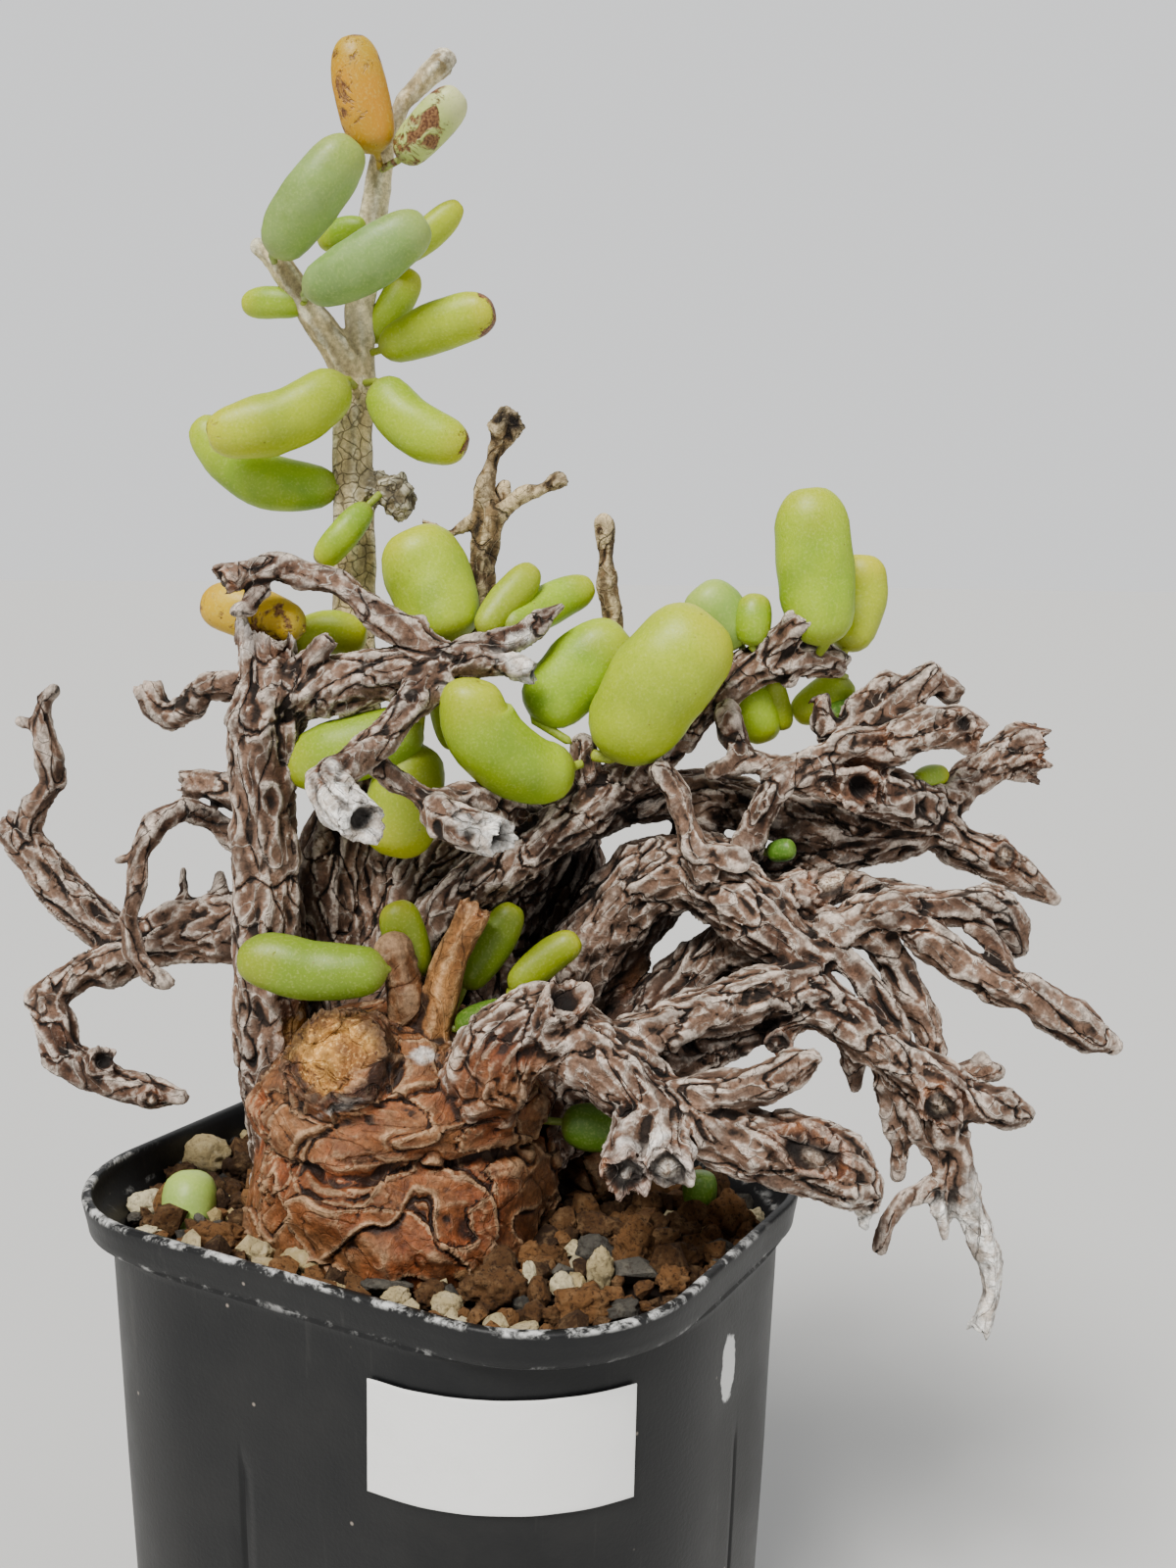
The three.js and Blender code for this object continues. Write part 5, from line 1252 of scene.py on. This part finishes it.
def build_pot(settings):
    rings, wall_rings = pot_rings()
    stops = ring_stops()
    shape = bmesh.new()
    current = bmesh.ops.create_circle(shape, segments=len(stops), radius=1)["verts"]
    loop = shape.edges[:]

    def lay(verts, ring, number):
        inset, z, corner = ring
        for vertex, stop in zip(verts, stops):
            point = outline_point(stop, inset, corner, z)
            if 0 < number < wall_rings:
                inward = Vector((point.x, point.y, 0)).normalized()
                point -= inward * groove_depth(point)
                point += inward * 0.10 * noise.noise(point / 17)
            vertex.co = point * MM

    lay(current, rings[0], 0)
    shape.faces.new(current)
    for number, ring in enumerate(rings[1:], 1):
        made = bmesh.ops.extrude_edge_only(shape, edges=loop)["geom"]
        verts = [g for g in made if isinstance(g, bmesh.types.BMVert)]
        step = {}
        for old in current:
            for edge in old.link_edges:
                other = edge.other_vert(old)
                if other in verts and other not in step.values():
                    step[old] = other
        current = [step[old] for old in current]
        edges = set(current)
        loop = [e for e in made if isinstance(e, bmesh.types.BMEdge) and all(v in edges for v in e.verts)]
        lay(current, ring, number)
    shape.faces.new(current)
    bmesh.ops.recalc_face_normals(shape, faces=shape.faces[:])
    pot = new_object("nursery_pot", shape)
    holes = bmesh.new()
    for x, y in DRAIN_PLACES:
        bmesh.ops.create_cone(holes, cap_ends=True, segments=40, radius1=HOLE_RADIUS * MM,
                              radius2=HOLE_RADIUS * MM, depth=8 * MM,
                              matrix=Matrix.Translation((x * MM, y * MM, 0)))
    drill = new_object("drill", holes)
    cut = pot.modifiers.new("drain holes", "BOOLEAN")
    cut.operation = "DIFFERENCE"
    cut.solver = "EXACT"
    cut.object = drill
    applied(pot)
    discard(drill)
    for face in pot.data.polygons:
        face.use_smooth = abs(face.normal.z) < 0.98 or face.center.z > 70 * MM
    dress(pot, make_plastic(settings), "pot", "pot")


def make_plastic(settings):
    """Matt black plastic with dust, scuffs and pale scale where water has dried."""
    n, take, give = shader_group("scuffed_plastic", {"Body": "1a1b1d"}, {})
    place = n.place()
    x, y, z = n.add("ShaderNodeSeparateXYZ", Vector=place).outputs
    cloud = n.speckle(place, 9.0, 5.0, 0.6)
    grain = n.speckle(place, 0.25, 3.0, 0.6)
    patch = n.speckle(place, 1.6, 6.0, 0.72, 0.4)
    streak = n.add("ShaderNodeMapping", Vector=place, Scale=(1.0, 1.0, 0.08)).outputs[0]
    runs = n.speckle(streak, 1.0, 4.0, 0.6)
    cells = n.add("ShaderNodeTexVoronoi", Vector=place, Scale=1 / (5.5 * MM)).outputs
    fleck = n.span(cells["Distance"], 0.055, 0.02)
    band = POT_HEIGHT - BAND_HEIGHT

    def rise(low, high):
        return n.span(z, low * MM, high * MM)

    front = n.span(n.total((y, -1.0), (x, 0.2)), -0.002, 0.012)
    crust = n.times(rise(POT_HEIGHT - 0.75, POT_HEIGHT - 0.2),
                    n.times(front, n.span(patch, 0.47, 0.62, 0.0, 0.85)))
    scratch = n.times(n.times(rise(band - 0.5, band + 0.05), rise(band + 0.55, band + 0.1)),
                      n.span(patch, 0.5, 0.66, 0.0, 0.45))
    spot = [n.math("DIVIDE", n.math("SUBTRACT", axis, middle * MM), half * MM)
            for axis, middle, half in ((y, -1.85, 2.0), (z, 61.2, 4.3))]
    ring = n.stir(n.total(*zip(spot, spot)), patch, 1.6)
    splash = n.times(n.span(ring, 1.0, 0.75), n.math("GREATER_THAN", x, 0.036))
    pale = n.most(crust, scratch, splash)
    colour = n.layers(
        take["Body"],
        (n.span(cloud, 0.3, 0.75, 0.0, 0.06), "77746f"),
        (n.span(runs, 0.62, 0.8, 0.0, 0.10), "77746f"),
        (n.times(fleck, 0.75), "9a8f84"),
        (n.times(pale, 0.92), "e4e4e2"),
    )
    roughness = n.math("ADD", n.span(cloud, 0.3, 0.7, 0.40, 0.52), n.times(pale, 0.35))
    tree = finish_group(n, give, colour, roughness, n.total((grain, 0.4), (pale, 1.0)))
    return new_material("pot_plastic", tree, 0.10, 0.3, {"Body": tuple(settings.plastic) + (1.0,)})[0]


# The tape: its ends from the middle of the front corner, its height, its top under the rim, its tilt
LABEL_START = -22.7
LABEL_END = 6.5
LABEL_HEIGHT = 12.8
LABEL_TOP = 8.5
LABEL_TILT = 0.01


def label_spot(along, z, out):
    """A place on the tape, which follows the front wall and then the corner."""
    inset = wall_inset(z)
    bend = WALL_CORNER + 0.3
    start = -bend * math.pi / 4
    flat = min(along - start, 0)
    angle = -math.pi / 2 + max(along - start, 0) / bend
    centre = Vector((RIM_HALF_X - inset - WALL_CORNER, -(RIM_HALF_Y - inset - WALL_CORNER), z))
    return centre + Vector((flat + (WALL_CORNER + out) * math.cos(angle),
                            (WALL_CORNER + out) * math.sin(angle), 0))


def make_tape():
    """White tape with a little grime."""
    n, _, give = shader_group("tape", {}, {})
    place = n.place()
    cloud = n.speckle(place, 7.0, 4.0, 0.6)
    colour = n.mix(n.span(cloud, 0.5, 0.8, 0.0, 0.16), "f3f3f1", "b9b4aa")
    roughness = n.span(cloud, 0.3, 0.7, 0.42, 0.55)
    tree = finish_group(n, give, colour, roughness, n.speckle(place, 0.2, 3.0, 0.6))
    return new_material("label_tape", tree, 0.03, 0.4)[0]


def build_label():
    shape = bmesh.new()
    bmesh.ops.create_grid(shape, x_segments=80, y_segments=28, size=0.5)
    for vertex in shape.verts:
        across, up = vertex.co.x + 0.5, vertex.co.y
        trim = 0.12 * noise.noise(Vector((across * 9, up * 4, 3)))
        along = LABEL_START + (LABEL_END - LABEL_START) * across
        z = POT_HEIGHT - LABEL_TOP - LABEL_HEIGHT / 2 + (LABEL_HEIGHT + trim) * up + LABEL_TILT * along
        bubble = 0.05 * max(noise.noise(Vector((along / 3.1, z / 3.1, 0))), 0)
        edge = max(abs(up) * 2 - 0.9, 0) + max(abs(across - 0.5) * 2 - 0.96, 0) * 2.2
        vertex.co = label_spot(along, z, 0.34 + bubble + 0.5 * edge * edge) * MM
    bmesh.ops.recalc_face_normals(shape, faces=shape.faces[:])
    label = new_object("blank_label", shape)
    if label.data.polygons[0].normal.y > 0:
        label.data.flip_normals()
    body = label.modifiers.new("tape thickness", "SOLIDIFY")
    body.thickness = 0.18 * MM
    body.offset = 1.0
    round_off = label.modifiers.new("soft edge", "BEVEL")
    round_off.width = 0.05 * MM
    round_off.segments = 2
    round_off.limit_method = "ANGLE"
    applied(label)
    dress(label, make_tape(), "label", "label")


# The bed's near-black colours are partly dark soil and partly painted shade between the stones
SOIL_LOOKS = {
    "crumb": ("24170d", "825a34", "a88862", 0.85),
    "pumice": ("a8905c", "dccfa8", "efe2c0", 0.45),
    "basalt": ("262523", "625e56", "8f8878", 0.6),
    "bed": ("0e0906", "22160d", "3a2818", 0.9),
}
# Flat cuts of a stone, corners of a crumb, and the most vertices before a new mesh is begun
STONE_CUTS = 11
CRUMB_CORNERS = 17
FULL_MESH = 300
# The thick stem in the plant's frame and the room that small stones leave round it, in millimetres
STEM_MIDDLE = Vector((-9.5, -8.5, 0))
STEM_ROOM = 15.5
TRIES = 30


def corner_share(x, y, inset, corner):
    """How far out a point lies in the corner of an inset outline, 1 at the outline."""
    dx = max(abs(x) - (RIM_HALF_X - inset - corner), 0) / corner
    dy = max(abs(y) - (RIM_HALF_Y - inset - corner), 0) / corner
    return math.hypot(dx, dy)


def bed_height(x, y):
    return SOIL_TOP - 1.2 + 0.8 * noise.noise(Vector((x / 9, y / 9, 1.7)))


def joined(parts):
    """One bmesh from several."""
    whole = bmesh.new()
    data = bpy.data.meshes.new("part")
    for part in parts:
        part.to_mesh(data)
        part.free()
        whole.from_mesh(data)
    bpy.data.meshes.remove(data)
    return whole


def stretched(ray, size):
    return Vector([part * reach for part, reach in zip(ray, size)])


def stone(shape, centre, size, turn, rng, rough):
    """A faceted lump with a pitted surface, added to a bmesh."""
    made = bmesh.ops.create_icosphere(shape, subdivisions=4, radius=1)["verts"]
    planes = [(random_ray(rng), 0.66 + 0.3 * rng.random()) for _ in range(STONE_CUTS)]
    shift = Vector([rng.random() * 50 for _ in range(3)])
    for vertex in made:
        ray = vertex.co.normalized()
        reach = 1.0
        for normal, offset in planes:
            lean = ray.dot(normal)
            if lean > 0.05:
                reach = min(reach, offset / lean)
        reach += rough * noise.noise(ray * 2.6 + shift) + 0.6 * rough * noise.noise(ray * 6 + shift)
        reach += 0.35 * rough * noise.noise(ray * 14 + shift)
        vertex.co = (centre + turn @ (stretched(ray, size) * reach)) * MM
    return made


def crumb(shape, centre, size, turn, rng):
    """An angular crumb, the hull of a few scattered points, added to a bmesh."""
    made = []
    for _ in range(CRUMB_CORNERS):
        ray = random_ray(rng) * rng.uniform(0.8, 1.06)
        made.append(shape.verts.new((centre + turn @ stretched(ray, size)) * MM))
    hull = bmesh.ops.convex_hull(shape, input=made)
    loose = {v for v in hull["geom_interior"] + hull["geom_unused"] if isinstance(v, bmesh.types.BMVert)}
    kept = [v for v in made if v not in loose]
    bmesh.ops.delete(shape, geom=list(loose), context="VERTS")
    return kept


def make_grains(settings):
    """Loose stones by kind and size: those that show by place, and a dense layer of small ones."""
    rng = random.Random(settings.seed)
    shapes = {(size, kind): [] for size in ("stones", "grains") for kind in ("crumb", "pumice", "basalt")}
    stem = in_pot(STEM_MIDDLE)
    taken = np.zeros((settings.grains + len(STONES), 3))
    placed = 0

    def room(size, kind):
        parts = shapes[size, kind]
        if not parts or len(parts[-1].verts) > FULL_MESH:
            parts.append(bmesh.new())
            parts[-1].verts.layers.float.new("tone")
        return parts[-1]

    def tint(shape, made, tone):
        layer = shape.verts.layers.float["tone"]
        for vertex in made:
            vertex[layer] = tone

    view = Matrix.Rotation(PLANT_TURN, 3, "Z")
    for x, y, wide, high, look in STONES:
        kind, tone = STONE_KINDS[look]
        deep = 0.5 * (wide + min(high, wide)) * (0.8 + 0.3 * rng.random())
        centre = Vector((x, y, bed_height(x, y) + 0.9 + 0.36 * high))
        small = Matrix.Rotation(rng.uniform(-0.35, 0.35), 3, "Y")
        small = small @ Matrix.Rotation(rng.uniform(-0.3, 0.3), 3, "X")
        shape = room("stones", kind)
        made = stone(shape, centre, (wide * 0.58, deep * 0.52, high * 0.58), view @ small, rng,
                     0.26 if kind == "crumb" else 0.16)
        tint(shape, made, tone + rng.uniform(-0.12, 0.12))
        taken[placed] = (x, y, 0.40 * wide)
        placed += 1
    soil_inset = wall_inset(SOIL_TOP)
    for _ in range(settings.grains * TRIES):
        if placed == len(taken):
            break
        size = settings.smallest + (settings.largest - settings.smallest) * rng.random() ** 1.5
        x = rng.uniform(-RIM_HALF_X + 3, RIM_HALF_X - 3)
        y = rng.uniform(-RIM_HALF_Y + 3, RIM_HALF_Y - 3)
        inset = soil_inset + WALL + 0.55 * size
        if corner_share(x, y, inset, WALL_CORNER - inset + soil_inset) > 1:
            continue
        if math.hypot(x - stem.x, y - stem.y) < STEM_ROOM:
            continue
        some = taken[:placed]
        if (np.hypot(some[:, 0] - x, some[:, 1] - y) < some[:, 2] + 0.30 * size).any():
            continue
        taken[placed] = (x, y, 0.29 * size)
        placed += 1
        dice = rng.random()
        kind = "crumb" if dice < 0.76 else "pumice" if dice < 0.87 else "basalt"
        angle = rng.uniform(0, 6.28)
        axis = Vector((rng.gauss(0, 1), rng.gauss(0, 1), rng.gauss(0, 1) + 0.01)).normalized()
        centre = Vector((x, y, bed_height(x, y) + 0.6 + 0.28 * size + rng.uniform(-0.4, 0.9)))
        half = 0.54 * size
        shape = room("grains", kind)
        sides = [half * rng.uniform(*span) for span in ((0.85, 1.15), (0.7, 1.0), (0.65, 0.95))]
        made = crumb(shape, centre, sides, Matrix.Rotation(angle, 3, axis), rng)
        tint(shape, made, rng.random())
    return [(kind, new_object(size + "_" + kind, joined(parts), smooth=size == "stones"))
            for (size, kind), parts in shapes.items()]


def grain_group():
    """Crumbly stone: two colours by grain, pits and dust."""
    n, take, give = shader_group("crumbly_stone", dict.fromkeys(("First", "Second", "Dust"), "5f3b22"),
                                 {"Tone": 0.5, "Pit": 0.5})
    place = n.place()
    lumps = n.speckle(place, 0.9, 5.0, 0.65)
    crumbs = n.speckle(place, 0.28, 6.0, 0.72)
    colour = n.layers(
        take["First"],
        (take["Tone"], take["Second"]),
        (n.span(lumps, 0.45, 0.7, 0.0, 0.32), take["Dust"]),
        (n.times(n.span(crumbs, 0.50, 0.36), take["Pit"]), "2a1a10"),
        (n.span(crumbs, 0.58, 0.78, 0.0, 0.30), take["Dust"]),
    )
    return finish_group(n, give, colour, n.span(lumps, 0.3, 0.7, 0.86, 0.97),
                        n.total((crumbs, 1.2), (lumps, 0.6)))


def bed_reach(ray, inset, corner):
    """How far the bed goes from the middle along a level ray, found by halving."""
    low, high = 0.0, RIM_HALF_X * 1.3
    for _ in range(24):
        middle = 0.5 * (low + high)
        if corner_share(ray.x * middle, ray.y * middle, inset, corner) > 1:
            high = middle
        else:
            low = middle
    return low


def build_soil(settings):
    shape = bmesh.new()
    bmesh.ops.create_uvsphere(shape, u_segments=112, v_segments=48, radius=1)
    inset = WALL + 0.35
    for vertex in shape.verts:
        angle = math.atan2(vertex.co.y, vertex.co.x)
        tilt = math.acos(max(-1.0, min(1.0, vertex.co.z))) / (math.pi / 2)
        top = tilt <= 1.0
        share = tilt if top else 2 - tilt
        z = SOIL_TOP if top else FLOOR + 0.35
        ray = Vector((math.cos(angle), math.sin(angle)))
        reach = bed_reach(ray, inset + wall_inset(z), WALL_CORNER - inset)
        reach *= math.sin(share * math.pi / 2) ** 0.8
        x, y = ray.x * reach, ray.y * reach
        if top:
            z = bed_height(x, y) + 0.35 * noise.noise(Vector((x / 1.3, y / 1.3, 5)))
        vertex.co = Vector((x, y, z)) * MM
    bmesh.ops.recalc_face_normals(shape, faces=shape.faces[:])
    bed = new_object("soil_bed", shape)
    group = grain_group()
    materials = {}
    for kind, looks in SOIL_LOOKS.items():
        values = dict(zip(("First", "Second", "Dust", "Pit"), looks))
        marks = () if kind == "bed" else ("Tone",)
        materials[kind] = new_material("soil_" + kind, group, 0.45, 0.25, values, marks)[0]
    dress(bed, materials["bed"], "soil", "soil")
    for kind, piece in make_grains(settings):
        dress(piece, materials[kind], "soil")


# Stage

# Soft distant lights: where they come from, share of the main light, angle that they fill, colour
LIGHTS = {
    "soft_sun": ((-0.35, -0.75, 1.0), 1.0, 0.4, (1.0, 0.98, 0.94)),
    "side_fill": ((1.0, -0.5, 0.5), 0.13, 1.2, (0.95, 0.97, 1.0)),
    "back_fill": ((0.1, 1.0, 0.8), 0.16, 1.2, (1.0, 1.0, 1.0)),
}
FLOOR_RADIUS = 9.0
FLOOR_DROP = 0.0002


def look_matrix():
    """Where the camera stands and how it is turned, in the pot's frame."""
    forward = Vector((0, math.cos(EYE_PITCH), -math.sin(EYE_PITCH)))
    right = Vector((1, 0, 0))
    up = Vector((0, math.sin(EYE_PITCH), math.cos(EYE_PITCH)))
    c, s = math.cos(EYE_ROLL), math.sin(EYE_ROLL)
    right, up = c * right + s * up, c * up - s * right
    turn = Matrix.Rotation(PLANT_TURN, 3, "Z")
    made = Matrix((turn @ right, turn @ up, turn @ -forward)).transposed().to_4x4()
    made.translation = in_pot(EYE) * MM
    return made


def build_camera():
    data = bpy.data.cameras.new("photo_camera")
    data.sensor_fit = "AUTO"
    data.sensor_width = 36.0
    data.lens = LENS
    data.clip_start = 0.01
    data.clip_end = 50
    camera = bpy.data.objects.new("photo_camera", data)
    bpy.context.scene.collection.objects.link(camera)
    camera.matrix_world = look_matrix()
    bpy.context.scene.camera = camera


def build_floor(colour):
    shape = bmesh.new()
    bmesh.ops.create_circle(shape, cap_ends=True, segments=96, radius=FLOOR_RADIUS)
    bmesh.ops.translate(shape, verts=shape.verts[:], vec=(0, 0, -FLOOR_DROP))
    floor = new_object("studio_floor", shape)
    material = bpy.data.materials.new("studio_floor")
    material.use_nodes = True
    shader = material.node_tree.nodes["Principled BSDF"]
    shader.inputs["Base Color"].default_value = tuple(colour) + (1.0,)
    shader.inputs["Roughness"].default_value = 0.9
    floor.data.materials.append(material)


def build_lights(settings):
    world = bpy.data.worlds.new("soft_studio")
    world.use_nodes = True
    n = Nodes(world.node_tree)
    back = world.node_tree.nodes["Background"]
    back.inputs["Color"].default_value = (0.93, 0.94, 0.95, 1.0)
    seen_bare = n.add("ShaderNodeLightPath").outputs["Is Camera Ray"]
    n.put(back.inputs["Strength"],
          n.math("MULTIPLY_ADD", seen_bare, settings.backdrop - settings.sky, settings.sky))
    bpy.context.scene.world = world
    turn = Matrix.Rotation(PLANT_TURN, 3, "Z")
    for name, (source, share, softness, colour) in LIGHTS.items():
        data = bpy.data.lights.new(name, "SUN")
        data.angle = softness
        data.energy = settings.sun * share
        data.color = colour
        lamp = bpy.data.objects.new(name, data)
        bpy.context.scene.collection.objects.link(lamp)
        lamp.rotation_euler = (-(turn @ Vector(source))).to_track_quat("-Z", "Y").to_euler()


def build_studio(settings):
    build_camera()
    build_floor(settings.floor)
    build_lights(settings)


# Settings, operators and panel

class BarkSettings(bpy.types.PropertyGroup):
    cell: FloatProperty(name="Cell", description="Size of the bark's mesh cells",
                        default=0.00035, unit="LENGTH", precision=5)
    swell: FloatProperty(name="Swell", description="Growth that closes the gaps between stems",
                         default=0.00022, unit="LENGTH", precision=5)
    rounding: IntProperty(name="Rounding", description="Smoothing rounds before the relief", default=16)
    relief: FloatProperty(name="Relief", description="Depth of ridges and flakes", default=1.0)
    # Whiteness sets the pale, partly weathered raised bark and the painted highlights on crests and ridges
    whiteness: FloatProperty(name="Whiteness", description="Bleached look of raised bark",
                             default=1.0, subtype="FACTOR", min=0, max=1)
    seed: IntProperty(name="Seed", description="Pattern of the bark", default=7)


class LeafSettings(bpy.types.PropertyGroup):
    glow: FloatProperty(name="Glow", description="Light that passes through the flesh",
                        default=0.08, subtype="FACTOR", min=0, max=1)
    seed: IntProperty(name="Seed", description="Small differences from leaf to leaf", default=11)


class SoilSettings(bpy.types.PropertyGroup):
    grains: IntProperty(name="Grains", description="Number of small stones", default=640)
    smallest: FloatProperty(name="Smallest", description="Smallest stone in millimetres", default=2.2)
    largest: FloatProperty(name="Largest", description="Largest loose stone in millimetres", default=6.4)
    seed: IntProperty(name="Seed", description="Scatter of the stones", default=5)


class PotSettings(bpy.types.PropertyGroup):
    plastic: FloatVectorProperty(name="Plastic", description="Colour of the pot", subtype="COLOR",
                                 size=3, min=0, max=1, default=plain_colour("101113")[:3])


class StudioSettings(bpy.types.PropertyGroup):
    floor: FloatVectorProperty(name="Floor", description="Colour of the floor", subtype="COLOR",
                               size=3, min=0, max=1, default=(0.62, 0.62, 0.61))
    sky: FloatProperty(name="Sky", description="Strength of the soft surrounding light", default=0.3)
    backdrop: FloatProperty(name="Backdrop", description="Brightness of the bare background", default=1.12)
    sun: FloatProperty(name="Sun", description="Strength of the main soft light", default=5.0)


class CAUDEX_OT_pot(bpy.types.Operator):
    """Builds the black nursery pot"""
    bl_idname = "caudex.pot"
    bl_label = "Build pot"

    def execute(self, context):
        build_pot(context.scene.caudex_pot)
        return {"FINISHED"}


class CAUDEX_OT_label(bpy.types.Operator):
    """Builds the bare white tape on the pot"""
    bl_idname = "caudex.label"
    bl_label = "Build label"

    def execute(self, context):
        build_label()
        return {"FINISHED"}


class CAUDEX_OT_soil(bpy.types.Operator):
    """Builds the soil bed and its loose stones"""
    bl_idname = "caudex.soil"
    bl_label = "Build soil"

    def execute(self, context):
        build_soil(context.scene.caudex_soil)
        return {"FINISHED"}


class CAUDEX_OT_bark(bpy.types.Operator):
    """Builds the bark of the thick stem, the limbs and the stalks"""
    bl_idname = "caudex.bark"
    bl_label = "Build bark"

    def execute(self, context):
        build_bark(context.scene.caudex_bark)
        return {"FINISHED"}


class CAUDEX_OT_leaves(bpy.types.Operator):
    """Builds the plump leaves"""
    bl_idname = "caudex.leaves"
    bl_label = "Build leaves"

    def execute(self, context):
        build_leaves(context.scene.caudex_leaves)
        return {"FINISHED"}


class CAUDEX_OT_studio(bpy.types.Operator):
    """Builds the floor, the lights and the camera"""
    bl_idname = "caudex.studio"
    bl_label = "Build studio"

    def execute(self, context):
        build_studio(context.scene.caudex_studio)
        return {"FINISHED"}


class CAUDEX_PT_panel(bpy.types.Panel):
    """Lists the steps of the plant"""
    bl_label = "Caudex plant"
    bl_idname = "CAUDEX_PT_panel"
    bl_space_type = "VIEW_3D"
    bl_region_type = "UI"
    bl_category = "Caudex plant"

    def draw(self, context):
        for step, group in STEPS:
            self.layout.operator("caudex." + step)
            settings = getattr(context.scene, "caudex_" + step, None)
            if settings:
                for name in group.__annotations__:
                    self.layout.prop(settings, name)


STEPS = (
    ("studio", StudioSettings),
    ("pot", PotSettings),
    ("label", None),
    ("soil", SoilSettings),
    ("bark", BarkSettings),
    ("leaves", LeafSettings),
)
CLASSES = (
    BarkSettings, LeafSettings, SoilSettings, PotSettings, StudioSettings, CAUDEX_OT_pot,
    CAUDEX_OT_label, CAUDEX_OT_soil, CAUDEX_OT_bark, CAUDEX_OT_leaves, CAUDEX_OT_studio,
    CAUDEX_PT_panel,
)


def register():
    for cls in CLASSES:
        bpy.utils.register_class(cls)
    for step, group in STEPS:
        if group:
            setattr(bpy.types.Scene, "caudex_" + step, PointerProperty(type=group))


def unregister():
    for step, group in STEPS:
        if group:
            delattr(bpy.types.Scene, "caudex_" + step)
    for cls in reversed(CLASSES):
        bpy.utils.unregister_class(cls)


def main():
    register()
    for step, _ in STEPS:
        getattr(bpy.ops.caudex, step)()


if __name__ == "__main__":
    main()
